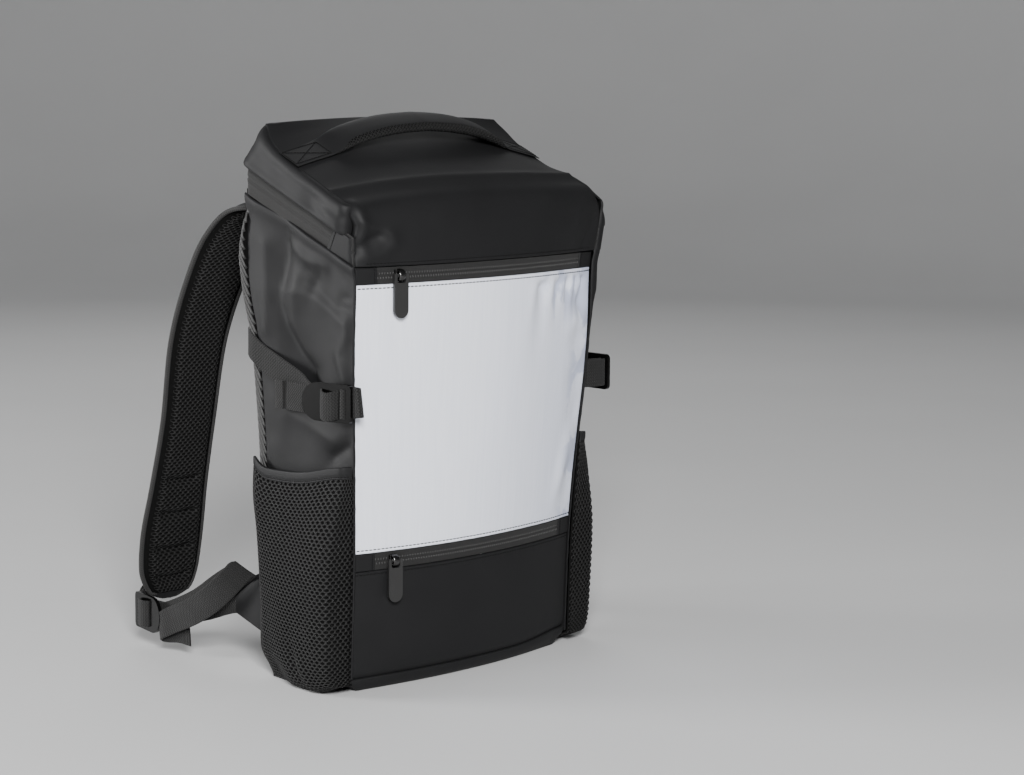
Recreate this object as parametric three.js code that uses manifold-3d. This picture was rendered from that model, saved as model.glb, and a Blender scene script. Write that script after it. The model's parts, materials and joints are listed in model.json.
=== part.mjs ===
import * as THREE from "three";
import { mergeVertices } from "three/addons/utils/BufferGeometryUtils.js";
import Module from "manifold-3d";

// Laptop backpack, in millimetres. The origin is the middle of the underside. The front faces -Y, the
// wearer's back +Y, and left and right are those of a viewer who looks at the front.

const wasm = await Module();
wasm.setup();
const { lerp, clamp } = THREE.MathUtils;

// Driving sizes
const CLOTH = 2; // wall of the coated cloth
const SEAM = 0.4; // gap between pieces that are sewn or laid together
const RIM = 1.5; // how far the side walls stand proud of the front and top panels
const HEM_Z = 12; // lower edge of the walls, where the bottom panel's rim ends
const SIDE_BACK = 52; // rear edge of the side walls
const SIDE_ROUND = { from: 0.85, deep: 1.2 }; // rounding of the side walls towards the back
const REAR = 61; // outer face of the back panel
const TAPE = 1.4; // zip tape
const TAPE_INSET = 0.9; // how far the zip tapes lie below the cloth
const PATCH = { proud: 0.5, cloth: 1, lid: 0.045, front: 0.07 }; // zip end patches, as shares of the zips
const WEBBING = 1.5;
const RIBBON_STEPS = 2; // facets between two points of a strap's route

// Back panel: edge thickness, top edge, taper of each side to the foot, powers of its rounded edges
const PAD = { edge: 6, top: 413, taper: 4, roundAcross: 10, roundAlong: 14 };

// Bottom panel: share of it that rolls up, how far the roll stands out, and how its facets gather there
const FLOOR = { roll: 0.1, out: 2, gather: 0.94 };

// Heights along the front edge where the cloth is divided
const LOWER_ZIP = { low: 103, high: 118 };
const UPPER_ZIP = { low: 344, high: 358 };
const MAIN_ZIP_LOW = 360;

// Walls: height at the front and at the back, half width, front edge and how far the front bulges
const SECTIONS = [
  { front: 12, back: 12, half: 136, edge: -55, bulge: 15 },
  { front: 103, back: 103, half: 136.5, edge: -58.5, bulge: 18 },
  { front: 190, back: 195, half: 141, edge: -63.5, bulge: 19 },
  { front: 250, back: 262, half: 145, edge: -67, bulge: 19 },
  { front: 300, back: 331, half: 147, edge: -69.5, bulge: 19 },
  { front: 344, back: 395, half: 147.6, edge: -71.5, bulge: 18.5 },
  { front: 360, back: 419.5, half: 149.5, edge: -72.5, bulge: 18 },
];

// Dents of the side walls: share of the depth, height, how wide, how tall, how deep
const SIDE_DENTS = [
  { share: 0.45, z: 268, wide: 0.34, tall: 46, deep: 7 },
  { share: 0.2, z: 335, wide: 0.1, tall: 60, deep: 3.5 },
  { share: 0.72, z: 360, wide: 0.13, tall: 40, deep: 3 },
];

// Top panel from the back edge down over the crease to the upper front zip: run of the cloth, half
// width, and the side and middle points of each section
const TOP_ROWS = [
  { run: 0, half: 138.5, sideY: 38.5, sideZ: 469.5, midY: 39, midZ: 475.5 },
  { run: 12, half: 146, sideY: 28, sideZ: 460.5, midY: 28, midZ: 470.5 },
  { run: 38, half: 147.2, sideY: 5, sideZ: 445.8, midY: 4, midZ: 459.5 },
  { run: 75, half: 147.8, sideY: -28, sideZ: 428.3, midY: -30, midZ: 444 },
  { run: 113, half: 148.6, sideY: -60, sideZ: 411.5, midY: -67, midZ: 426.5 },
  { run: 133, half: 149.2, sideY: -71.5, sideZ: 402.5, midY: -83, midZ: 413 },
  { run: 157, half: 149.5, sideY: -74, sideZ: 386, midY: -91, midZ: 389 },
  { run: 187, half: 145.6, sideY: -72.3, sideZ: 358.4, midY: -90.6, midZ: 358.4 },
];
const TOP_ROUND = 2.2; // power of the arch across the top panel

// Pinched folds of the top panel: share across, run, how wide, how long, how deep
const TOP_FOLDS = [
  { across: -0.88, run: 149, wide: 0.07, long: 22, deep: 4 },
  { across: 0.88, run: 145, wide: 0.06, long: 20, deep: 3.5 },
  { across: 0.35, run: 127, wide: 0.3, long: 10, deep: 2 },
];

// Loops of the lid round the sides and the back, each open at the front: half widths, front and rear
// ends, corner radius, heights, and kick, the part of the rise that comes at the very back
const LID_LOOPS = [
  { halfFront: 149.5, halfRear: 152, front: -72.5, rear: 61, corner: 9, low: 360, high: 419.5, kick: 0 },
  { halfFront: 152, halfRear: 152, front: -74, rear: 61, corner: 10, low: 378.5, high: 439.5, kick: 0 },
  { halfFront: 152, halfRear: 150, front: -75, rear: 42, corner: 16, low: 405, high: 475, kick: 0.14 },
];
const LID_KICK = 8; // power of the rise at the very back
const LID_SHARES = { side: 0.5, corner: 0.75 }; // where a side and a corner end on half a loop

// Side pockets: lower and upper edge, seam allowance, cloth, and how full the left and right one are
const POCKET = { low: 3, high: 178, seam: 0.5, cloth: 1.6, left: 1, right: 1.32 };
const BINDING = { high: 8.5, cloth: 2.2 }; // bound upper edge of a pocket
// Share of the height and how far the mesh stands off the wall
const POCKET_ROWS = [
  { height: 0, out: 0 },
  { height: 0.05, out: 17 },
  { height: 0.2, out: 26 },
  { height: 0.6, out: 27 },
  { height: 0.85, out: 17 },
  { height: 1, out: 9 },
];
// The mesh leaves the front seam steeply and runs back to the rear seam: share of the depth, fullness
const POCKET_DEPTH = [
  { share: 0, full: 0 },
  { share: 0.025, full: 0.74 },
  { share: 0.06, full: 0.98 },
  { share: 0.25, full: 1 },
  { share: 0.7, full: 0.6 },
  { share: 1, full: 0 },
];

// Carrying handle over the top panel: place across, top above the cloth, thickness, half width
const HANDLE_Y = 5;
const HANDLE_ROW = 2; // section of the top panel under the handle
const HANDLE_ROUND = 0.45; // share of the thickness lost at its edges
const HANDLE_ROWS = [
  { x: 0, top: 18.5, thick: 7, half: 14.5 },
  { x: 45, top: 17.5, thick: 7, half: 14.5 },
  { x: 85, top: 13.2, thick: 6, half: 14 },
  { x: 115, top: 8, thick: 4, half: 13 },
  { x: 135, top: 5, thick: 3, half: 13 },
  { x: 144.5, top: 4.3, thick: 3, half: 13 },
];

// Shoulder strap on the left, from the back panel to its tip: middle line, half width, thickness
const STRAP_ROWS = [
  { x: -82, y: 60.7, z: 393, half: 29, thick: 9 },
  { x: -84, y: 77, z: 397, half: 29, thick: 10 },
  { x: -90, y: 101, z: 391, half: 29, thick: 11 },
  { x: -96, y: 122, z: 367, half: 29, thick: 11 },
  { x: -102, y: 142, z: 330, half: 30, thick: 11 },
  { x: -107, y: 162, z: 280, half: 31, thick: 11 },
  { x: -107, y: 182, z: 205, half: 33, thick: 11 },
  { x: -103.5, y: 198, z: 145, half: 36.5, thick: 11 },
  { x: -100, y: 210, z: 100, half: 38, thick: 11 },
  { x: -99, y: 218, z: 66, half: 35, thick: 10 },
  { x: -99, y: 221, z: 50, half: 29, thick: 9 },
  { x: -99, y: 222, z: 41, half: 19, thick: 8 },
  { x: -99, y: 222.5, z: 37, half: 8, thick: 7 },
];
const STRAP_EDGE = 3.4; // thickness of the bound edge
const STRAP_ROUND = 6; // power of the rounding towards it

// Strap lock: a frame with three bars and a half-round thumb tab, lengths measured from its sewn bar
const LOCK = { start: -4, end: 27, half: 16, thick: 3, tab: 13, round: 3 };
const LOCK_SLOTS = [
  { from: 0, to: 9, half: 12.6 },
  { from: 13, to: 22, half: 12.4 },
];
// Route of a strap round the lock's middle bar: distance from the sewn bar, and out of the lock's plane
const MIDDLE_BAR_ROUTE = [
  { away: 30, out: -5.3 },
  { away: 22, out: -5.1 },
  { away: 15.5, out: -4.1 },
  { away: 11, out: -2.8 },
  { away: 8, out: -2.3 },
  { away: 6.9, out: 0 },
  { away: 8, out: 2.3 },
  { away: 11, out: 2.8 },
  { away: 14.8, out: 1.7 },
  { away: 17.6, out: -0.8 },
  { away: 22, out: -2.75 },
  { away: 30, out: -2.9 },
];
// Route of a doubled loop round the sewn bar
const SEWN_BAR_ROUTE = [
  { away: -5, out: -2.3 },
  { away: -6.1, out: 0 },
  { away: -5, out: 2.3 },
  { away: -2, out: 2.8 },
  { away: 1, out: 2.3 },
  { away: 2.1, out: 0 },
  { away: 1, out: -2.3 },
];

// Compression straps: half width, place of the lock's sewn bar, and how far each lock stands off the wall
const COMPRESSION = { half: 11, x: 145, y: -67, z: 247, liftLeft: 8, liftRight: 28 };

// Lower strap on the left, with the place of its lock's sewn bar
const LOWER_STRAP = { half: 12, x: -131, y: 219, z: 32, lift: 6.5 };
// From the tab to the lock, and on from the lock over a bend to the free tail: distance from the sewn
// bar, out from the strap's own plane, and rise
const LOWER_ROUTE = [
  { away: 150, out: -1.05, rise: 26 },
  { away: 125, out: -1.05, rise: 26 },
  { away: 90, out: 0.2, rise: 15 },
  { away: 55, out: 1, rise: 5 },
];
const TAIL_ROUTE = [
  { away: 46, out: 4.2, rise: 3 },
  { away: 80, out: 5, rise: 22 },
  { away: 115, out: 6, rise: 40 },
  { away: 140, out: 7, rise: 48 },
  { away: 146, out: 11, rise: 49 },
  { away: 140, out: 15, rise: 48 },
  { away: 115, out: 16, rise: 37 },
  { away: 80, out: 15.5, rise: 15 },
  { away: 56, out: 14.5, rise: -4 },
  { away: 38, out: 14, rise: -17 },
];
// Ends of the doubled loop behind the shoulder strap's tip
const LOOP_HALF = 10;
const LOOP_START = [
  { x: -104, y: 226.6, z: 55 },
  { x: -115, y: 227.2, z: 48 },
  { x: -126, y: 228, z: 38 },
];
const LOOP_END = [
  { x: -130, y: 224.6, z: 35 },
  { x: -122.5, y: 226, z: 41 },
];
const TAB = { x: -128.8, thick: 2.4, root: 59.5, tip: 96, z: 58, half: 12, low: 33, high: 88 };

// Zip pullers
const SLIDER = { half: 4, deep: 2.2, tall: 9, axis: 3.6, knuckle: 2.2, bore: 1.25 };
const RING = { half: 5.3, long: 8, wire: 1.4, round: 2 };
const PULL = { half: 6.8, neck: 3.9, long: 31, thick: 2.2, knuckle: 2.2, bore: 1.2 };
const PULLERS = [
  { name: "upper", x: -105, z: 351 },
  { name: "lower", x: -98, z: 110.5 },
];
const MAIN_SLIDER = { x: 34, half: 4.5, back: 60.6, thick: 2.4, low: 386, tabTop: 421, high: 437 };

const FINISHES = {
  coated: { color: 0x1c1c1e, roughness: 0.55, metalness: 0 },
  reflective: { color: 0xdfe2e9, roughness: 0.5, metalness: 0.1 },
  tape: { color: 0x2b2a29, roughness: 0.85, metalness: 0 },
  mesh: { color: 0x141415, roughness: 0.9, metalness: 0 },
  webbing: { color: 0x202022, roughness: 0.8, metalness: 0 },
  plastic: { color: 0x18181a, roughness: 0.4, metalness: 0 },
  rubber: { color: 0x19191b, roughness: 0.5, metalness: 0 },
  metal: { color: 0x4a4a4d, roughness: 0.3, metalness: 1 },
};

const UPRIGHT = new THREE.Vector3(0, 0, 1);
const OUTWARD = new THREE.Vector3(0, -1, 0); // out of the front

const bag = new THREE.Group();

// Shape helpers

const bump = (value, centre, width) => Math.exp(-(((value - centre) / width) ** 2));

// Smooth curve through one column of a table, read against its key column
function curve(table, key, column) {
  const x = table.map((row) => row[key]);
  const y = table.map((row) => row[column]);
  const last = x.length - 1;
  const slope = x.map((_, i) => {
    const before = Math.max(i - 1, 0);
    const after = Math.min(i + 1, last);
    return (y[after] - y[before]) / (x[after] - x[before]);
  });
  return (value) => {
    let i = 0;
    while (i < last - 1 && value > x[i + 1]) {
      i += 1;
    }
    const span = x[i + 1] - x[i];
    const t = clamp((value - x[i]) / span, 0, 1);
    const rise = t * t * (3 - 2 * t);
    const leave = slope[i] * t * (1 - t) ** 2;
    const arrive = slope[i + 1] * t * t * (1 - t);
    return lerp(y[i], y[i + 1], rise) + span * (leave - arrive);
  };
}

const wall = {
  back: curve(SECTIONS, "front", "back"),
  half: curve(SECTIONS, "front", "half"),
  edge: curve(SECTIONS, "front", "edge"),
  bulge: curve(SECTIONS, "front", "bulge"),
};

// Builds a geometry whose faces point out from its points and triangles
function solid(points, index) {
  const geometry = new THREE.BufferGeometry();
  geometry.setAttribute("position", new THREE.Float32BufferAttribute(points, 3));
  const corner = (k) => new THREE.Vector3().fromArray(points, 3 * index[k]);
  let volume = 0;
  for (let k = 0; k < index.length; k += 3) {
    volume += corner(k).dot(corner(k + 1).cross(corner(k + 2)));
  }
  geometry.setIndex(volume > 0 ? index : index.toReversed());
  geometry.computeVertexNormals();
  return geometry;
}

// Closed wall between two faces, each a function of u and v from 0 to 1
function shell(across, along, outer, inner) {
  const points = [];
  for (const face of [outer, inner]) {
    for (let j = 0; j <= along; j++) {
      for (let i = 0; i <= across; i++) {
        points.push(...face(i / across, j / along));
      }
    }
  }
  const size = (across + 1) * (along + 1);
  const at = (face, i, j) => face * size + j * (across + 1) + i;
  const index = [];
  const quad = (a, b, c, d) => index.push(a, b, c, a, c, d);
  for (let j = 0; j < along; j++) {
    for (let i = 0; i < across; i++) {
      quad(at(0, i, j), at(0, i + 1, j), at(0, i + 1, j + 1), at(0, i, j + 1));
      quad(at(1, i, j), at(1, i, j + 1), at(1, i + 1, j + 1), at(1, i + 1, j));
    }
    quad(at(0, 0, j), at(0, 0, j + 1), at(1, 0, j + 1), at(1, 0, j));
    quad(at(0, across, j), at(1, across, j), at(1, across, j + 1), at(0, across, j + 1));
  }
  for (let i = 0; i < across; i++) {
    quad(at(0, i, 0), at(1, i, 0), at(1, i + 1, 0), at(0, i + 1, 0));
    quad(at(0, i, along), at(0, i + 1, along), at(1, i + 1, along), at(1, i, along));
  }
  return solid(points, index);
}

// The face that lies a depth behind a surface, square to it; a negative depth lies in front of it
function behind(surface, depth) {
  const step = 0.002;
  return (u, v) => {
    const point = (du, dv) => new THREE.Vector3(...surface(clamp(u + du, 0, 1), clamp(v + dv, 0, 1)));
    const acrossways = point(step, 0).sub(point(-step, 0));
    const lengthways = point(0, step).sub(point(0, -step));
    const normal = acrossways.cross(lengthways).normalize();
    return point(0, 0).addScaledVector(normal, -depth).toArray();
  };
}

// Flat strap through hand-chosen points; its width lies along one direction
function ribbon(points, halfWidth, thick, width) {
  const path = new THREE.CatmullRomCurve3(points.map((point) => new THREE.Vector3(...point)));
  path.curveType = "centripetal";
  const steps = (points.length - 1) * RIBBON_STEPS;
  const face = (side) => (u, v) => {
    const normal = path.getTangent(v).cross(width).normalize();
    const point = path.getPoint(v).addScaledVector(width, (2 * u - 1) * halfWidth);
    return point.addScaledVector(normal, (side * thick) / 2).toArray();
  };
  return shell(1, steps, face(1), face(-1));
}

// Flat plate of an outline: outline x lies along one direction, outline y points up
function plate(outline, thick, sideways, middle) {
  const options = { depth: thick, bevelEnabled: false, curveSegments: 4 };
  const geometry = new THREE.ExtrudeGeometry(outline, options).translate(0, 0, -thick / 2);
  const place = new THREE.Matrix4().makeBasis(sideways, UPRIGHT, sideways.clone().cross(UPRIGHT));
  return welded(geometry.applyMatrix4(place.setPosition(...middle)));
}

function welded(geometry) {
  geometry.deleteAttribute("normal");
  geometry.deleteAttribute("uv");
  return mergeVertices(geometry);
}

function manifold(geometry) {
  const vertProperties = new Float32Array(geometry.attributes.position.array);
  const triVerts = new Uint32Array(geometry.index.array);
  return new wasm.Manifold(new wasm.Mesh({ numProp: 3, vertProperties, triVerts }));
}

function mirrored(geometry) {
  const points = Array.from(geometry.attributes.position.array);
  for (let k = 0; k < points.length; k += 3) {
    points[k] = -points[k];
  }
  return solid(points, Array.from(geometry.index.array));
}

const asBuilt = (geometry) => geometry;

function named(name, geometry, finish) {
  const mesh = new THREE.Mesh(geometry, new THREE.MeshStandardMaterial(FINISHES[finish]));
  mesh.name = name;
  return mesh;
}

function add(name, geometry, finish) {
  bag.add(named(name, geometry, finish));
}

function addPair(name, geometry, finish) {
  add(`${name}_left`, geometry, finish);
  add(`${name}_right`, mirrored(geometry), finish);
}

// Walls

// Height of a level line at a depth: level lines rise towards the back in the upper half
function levelZ(level, y) {
  const share = (y - wall.edge(level)) / (REAR - wall.edge(level));
  return lerp(level, wall.back(level), clamp(share, 0, 1));
}

// Half width of the bag on its side walls
function sideX(share, level) {
  let dent = 0;
  for (const fold of SIDE_DENTS) {
    dent += fold.deep * bump(share, fold.share, fold.wide) * bump(level, fold.z, fold.tall);
  }
  const seamPull = Math.sin(Math.PI * share) ** 2;
  const rounding = clamp((share - SIDE_ROUND.from) / (1 - SIDE_ROUND.from), 0, 1) ** 2;
  return wall.half(level) - dent * seamPull - SIDE_ROUND.deep * rounding;
}

function sidePoint(share, level) {
  const y = lerp(wall.edge(level) - RIM, SIDE_BACK, share);
  return [-sideX(share, level), y, levelZ(level, y)];
}

function sidePanel() {
  const place = (inset) => (u, v) => {
    const [x, y, z] = sidePoint(u, lerp(HEM_Z, MAIN_ZIP_LOW - SEAM, v));
    return [x + inset, y, z];
  };
  return shell(8, 12, place(0), place(CLOTH));
}

// A strip of the front between two heights, within a share of the width
function frontStrip(low, high, depth, thick, across, along, from = -1, to = 1) {
  const place = (inset) => (u, v) => {
    const share = lerp(from, to, u);
    const z = lerp(low + SEAM / 2, high - SEAM / 2, v);
    const y = wall.edge(z) - wall.bulge(z) * (1 - share * share);
    return [share * (wall.half(z) - CLOTH - SEAM), y + inset, z];
  };
  return shell(across, along, place(depth), place(depth + thick));
}

function addFront() {
  add("front_lower_panel", frontStrip(HEM_Z, LOWER_ZIP.low, 0, CLOTH, 12, 4), "coated");
  add("reflective_panel", frontStrip(LOWER_ZIP.high, UPPER_ZIP.low, 0, CLOTH, 12, 8), "reflective");
  for (const [name, zip] of [["front_zip_lower", LOWER_ZIP], ["front_zip_upper", UPPER_ZIP]]) {
    add(name, frontStrip(zip.low, zip.high, TAPE_INSET, TAPE, 12, 1), "tape");
    const start = 1 - 2 * PATCH.front;
    const patch = (from, to) => frontStrip(zip.low, zip.high, -PATCH.proud, PATCH.cloth, 2, 1, from, to);
    add(`${name}_end_left`, patch(-1, -start), "coated");
    add(`${name}_end_right`, patch(start, 1), "coated");
  }
}

function topPanel() {
  const top = {};
  for (const column of ["half", "sideY", "sideZ", "midY", "midZ"]) {
    top[column] = curve(TOP_ROWS, "run", column);
  }
  const length = TOP_ROWS.at(-1).run;
  const flat = (u, v) => {
    const share = 2 * u - 1;
    const run = v * length;
    const arch = 1 - Math.abs(share) ** TOP_ROUND;
    const y = lerp(top.sideY(run), top.midY(run), arch);
    return [share * top.half(run), y, lerp(top.sideZ(run), top.midZ(run), arch)];
  };
  const folded = (u, v) => {
    let dent = 0;
    for (const fold of TOP_FOLDS) {
      dent += fold.deep * bump(2 * u - 1, fold.across, fold.wide) * bump(v * length, fold.run, fold.long);
    }
    return behind(flat, -dent)(u, v);
  };
  return { flat, folded };
}

function addTop() {
  const { folded } = topPanel();
  add("top_panel", shell(16, 16, folded, behind(folded, -CLOTH)), "coated");
}

// Lid band and main zip

function lidLoop(level) {
  const lower = LID_LOOPS[Math.min(Math.floor(level), LID_LOOPS.length - 2)];
  const upper = LID_LOOPS[LID_LOOPS.indexOf(lower) + 1];
  const share = level - LID_LOOPS.indexOf(lower);
  const mix = (column) => lerp(lower[column], upper[column], share);
  return Object.fromEntries(Object.keys(lower).map((column) => [column, mix(column)]));
}

// A point on the lid's loop: share 0 is its front left end, 0.5 the middle of the back
function lidPoint(level, share, inset) {
  const loop = lidLoop(level);
  const side = share < 0.5 ? -1 : 1;
  const way = 1 - Math.abs(2 * share - 1);
  const alongSide = way / LID_SHARES.side;
  const alongCorner = (way - LID_SHARES.side) / (LID_SHARES.corner - LID_SHARES.side);
  const alongBack = (way - LID_SHARES.corner) / (1 - LID_SHARES.corner);
  const straight = loop.halfRear - loop.corner;
  const turn = loop.rear - loop.corner;
  let x = lerp(loop.halfFront, loop.halfRear, alongSide);
  let y = lerp(loop.front - RIM, turn, alongSide);
  let angle = 0;
  if (alongBack > 0) {
    x = lerp(straight, 0, alongBack);
    y = loop.rear;
    angle = Math.PI / 2;
  } else if (alongCorner > 0) {
    angle = (alongCorner * Math.PI) / 2;
    x = straight + loop.corner * Math.cos(angle);
    y = turn + loop.corner * Math.sin(angle);
  }
  const deep = clamp((y - loop.front) / (loop.rear - loop.front), 0, 1);
  const z = lerp(loop.low, loop.high, lerp(deep, deep ** LID_KICK, loop.kick));
  return [side * (x - inset * Math.cos(angle)), y - inset * Math.sin(angle), z];
}

function lidStrip(low, high, inset, thick, across, along, from = 0, to = 1) {
  const place = (depth) => (u, v) => {
    const lift = lerp(SEAM / 2, -SEAM / 2, v);
    const [x, y, z] = lidPoint(lerp(low, high, v), lerp(from, to, u), depth);
    return [x, y, z + lift];
  };
  return shell(across, along, place(inset), place(inset + thick));
}

function addLid() {
  add("lid_band", lidStrip(1, 2, 0, CLOTH, 32, 3), "coated");
  add("main_zip", lidStrip(0, 1, TAPE_INSET, TAPE, 32, 1), "tape");
  const patch = (from, to) => lidStrip(0, 1, -PATCH.proud, PATCH.cloth, 2, 1, from, to);
  add("main_zip_end_left", patch(0, PATCH.lid), "coated");
  add("main_zip_end_right", patch(1 - PATCH.lid, 1), "coated");
}

// Back and bottom

function backPanel() {
  const place = (face) => (u, v) => {
    const share = 2 * u - 1;
    const z = lerp(HEM_Z, PAD.top, v);
    const edge = Math.max(Math.abs(share) ** PAD.roundAcross, Math.abs(2 * v - 1) ** PAD.roundAlong);
    const thick = lerp(REAR - SIDE_BACK - SEAM, PAD.edge, edge);
    const half = wall.half(Math.min(z, MAIN_ZIP_LOW)) - lerp(PAD.taper, 0, v);
    return [share * half, SIDE_BACK + SEAM + face * thick, z];
  };
  return shell(12, 8, place(1), place(0));
}

// A flat floor whose rim turns up to the walls
function bottomPanel() {
  const curl = (share) => clamp((Math.abs(share) - 1 + FLOOR.roll) / FLOOR.roll, 0, 1) ** 2;
  const angle = Math.PI * FLOOR.gather;
  const gathered = (u) => Math.sin((u - 0.5) * angle) / Math.sin(0.5 * angle);
  const place = (inner) => (u, v) => {
    const across = gathered(u);
    const deep = gathered(v);
    const rise = Math.max(curl(across), curl(deep));
    const front = wall.edge(HEM_Z) - wall.bulge(HEM_Z) * (1 - across * across);
    const half = wall.half(HEM_Z) - (1 - rise) * FLOOR.out;
    const x = across * (half - inner * CLOTH * curl(across));
    const y = lerp(front, REAR - FLOOR.out, (deep + 1) / 2) - inner * CLOTH * curl(deep) * Math.sign(deep);
    return [x, y, (HEM_Z - SEAM) * rise + inner * CLOTH * (1 - rise)];
  };
  return shell(12, 10, place(0), place(1));
}

// Side pockets

function pocketPoint(share, height, fullness, out) {
  const level = lerp(POCKET.low, POCKET.high, height);
  const reach = curve(POCKET_ROWS, "height", "out")(height);
  const belly = curve(POCKET_DEPTH, "share", "full")(share);
  const onWall = Math.max(level, HEM_Z);
  const y = lerp(wall.edge(onWall) + POCKET.seam, SIDE_BACK - POCKET.seam, share);
  return [-(wall.half(onWall) + SEAM + fullness * reach * belly + out), y, level];
}

function addPocket(side, fullness, hand) {
  const mesh = (out) => (u, v) => pocketPoint(u, v, fullness, out);
  const span = POCKET.high - POCKET.low;
  const bound = (out) => (u, v) => pocketPoint(u, 1 + (SEAM + v * BINDING.high) / span, fullness, out);
  add(`mesh_pocket_${side}`, hand(shell(10, 9, mesh(POCKET.cloth), mesh(0))), "mesh");
  add(`pocket_binding_${side}`, hand(shell(10, 1, bound(BINDING.cloth), bound(0))), "webbing");
}

// Handle

function addHandle() {
  const { flat } = topPanel();
  const size = {};
  for (const column of ["top", "thick", "half"]) {
    size[column] = curve(HANDLE_ROWS, "x", column);
  }
  const reach = HANDLE_ROWS.at(-1).x;
  const seat = TOP_ROWS[HANDLE_ROW];
  const ahead = TOP_ROWS[HANDLE_ROW + 1];
  const slope = new THREE.Vector3(0, seat.midY - ahead.midY, seat.midZ - ahead.midZ).normalize();
  const up = new THREE.Vector3(0, -slope.z, slope.y);
  const along = seat.run / TOP_ROWS.at(-1).run;
  const place = (face) => (u, v) => {
    const x = lerp(-reach, reach, v);
    const across = 2 * u - 1;
    const [, y, z] = flat(0.5 + x / (2 * seat.half), along);
    const base = new THREE.Vector3(x, y, z).addScaledVector(slope, (HANDLE_Y - y) / slope.y);
    const full = size.thick(Math.abs(x));
    const thick = full * (1 - HANDLE_ROUND * across ** 4);
    const middle = size.top(Math.abs(x)) - full / 2;
    base.addScaledVector(slope, across * size.half(Math.abs(x)));
    return base.addScaledVector(up, middle + (face * thick) / 2).toArray();
  };
  add("handle", shell(4, 26, place(1), place(-1)), "coated");
}

// Shoulder straps

function shoulderStrap() {
  const line = new THREE.CatmullRomCurve3(STRAP_ROWS.map((row) => new THREE.Vector3(row.x, row.y, row.z)));
  const rows = STRAP_ROWS.map((row, order) => ({ ...row, share: order / (STRAP_ROWS.length - 1) }));
  const half = curve(rows, "share", "half");
  const thick = curve(rows, "share", "thick");
  const width = new THREE.Vector3(1, 0, 0);
  const place = (face) => (u, v) => {
    const across = 2 * u - 1;
    const normal = line.getTangent(v).cross(width).normalize();
    const point = line.getPoint(v).addScaledVector(width, across * half(v));
    const full = lerp(thick(v), Math.min(STRAP_EDGE, thick(v)), across ** STRAP_ROUND);
    return point.addScaledVector(normal, (face * full) / 2).toArray();
  };
  return shell(6, 28, place(1), place(-1));
}

// Strap lock from its sewn bar to the tip of its thumb tab, which points away
function lockGeometry(away, middle) {
  const outline = new THREE.Shape();
  const { start, end, half, round, tab } = LOCK;
  outline.moveTo(start + round, -half);
  outline.lineTo(end, -half);
  outline.absellipse(end, 0, tab, half, -Math.PI / 2, Math.PI / 2);
  outline.lineTo(start + round, half);
  outline.absarc(start + round, half - round, round, Math.PI / 2, Math.PI);
  outline.lineTo(start, round - half);
  outline.absarc(start + round, round - half, round, Math.PI, 1.5 * Math.PI);
  for (const slot of LOCK_SLOTS) {
    const hole = new THREE.Path();
    hole.moveTo(slot.from, -slot.half);
    hole.lineTo(slot.from, slot.half);
    hole.lineTo(slot.to, slot.half);
    hole.lineTo(slot.to, -slot.half);
    outline.holes.push(hole);
  }
  return plate(outline, LOCK.thick, away, middle);
}

// Compression strap as seen on the left, with its lock and the loop that anchors it in the front seam.
// A spot is a distance from the lock's sewn bar, out from the wall, and a rise.
function addCompression(side, lift, hand) {
  const { half, x, y, z } = COMPRESSION;
  const spot = (away, out, rise) => [-(x + out), y + away, z + rise];
  const round = (route) => route.map(({ away, out }) => spot(away, lift + out, 0));
  const strap = [
    spot(114, 1.6, 30),
    spot(84, 0.25 * lift, 20),
    spot(56, 0.5 * lift - 2, 9),
    ...round(MIDDLE_BAR_ROUTE),
    spot(46, lift - 3, 0),
    spot(70, 0.7 * lift - 0.6, 0.5),
    spot(94, 0.5 * lift, 1),
    spot(96.2, 0.5 * lift + 1, 1),
    spot(94, 0.5 * lift + 2, 1),
    spot(84, 0.6 * lift + 2, 1),
  ];
  const anchor = [
    spot(7, 1.3, 0),
    spot(0.5, 1.6, 0),
    ...round(SEWN_BAR_ROUTE),
    spot(2, lift - 4.2, 0),
    spot(7, 3.4, 0),
  ];
  const lock = lockGeometry(new THREE.Vector3(0, 1, 0), spot(0, lift, 0));
  add(`compression_strap_${side}`, hand(ribbon(strap, half, WEBBING, UPRIGHT)), "webbing");
  add(`compression_anchor_${side}`, hand(ribbon(anchor, half, WEBBING, UPRIGHT)), "webbing");
  add(`compression_lock_${side}`, hand(lock), "plastic");
}

// Lower strap of a shoulder strap: from the tab through the lock, back to a bend and out to a free tail
function addLowerStraps() {
  const { half, x, y, z, lift } = LOWER_STRAP;
  const spot = ({ away, out, rise }) => [x - out, y - away, z + rise];
  const round = (route) => route.map(({ away, out }) => spot({ away, out: lift + out, rise: 0 }));
  const place = (row) => [row.x, row.y, row.z];
  const strap = [...LOWER_ROUTE.map(spot), ...round(MIDDLE_BAR_ROUTE), ...TAIL_ROUTE.map(spot)];
  const loop = [...LOOP_START.map(place), ...round(SEWN_BAR_ROUTE), ...LOOP_END.map(place)];
  const lock = lockGeometry(new THREE.Vector3(0, -1, 0), spot({ away: 0, out: lift, rise: 0 }));
  addPair("lower_strap", ribbon(strap, half, WEBBING, UPRIGHT), "webbing");
  addPair("strap_loop", ribbon(loop, LOOP_HALF, WEBBING, UPRIGHT), "webbing");
  addPair("strap_lock", lock, "plastic");
  addPair("strap_tab", tabGeometry(), "coated");
}

// Triangular tab that stands out from the foot of the back panel
function tabGeometry() {
  const outline = new THREE.Shape();
  outline.moveTo(TAB.root, TAB.low);
  outline.lineTo(TAB.tip, TAB.z - TAB.half);
  outline.lineTo(TAB.tip, TAB.z + TAB.half);
  outline.lineTo(TAB.root, TAB.high);
  return plate(outline, TAB.thick, new THREE.Vector3(0, 1, 0), [TAB.x + TAB.thick / 2, 0, 0]);
}

// Zip sliders, rings and pull tabs, each in a group turned to the curve of the front

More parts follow.
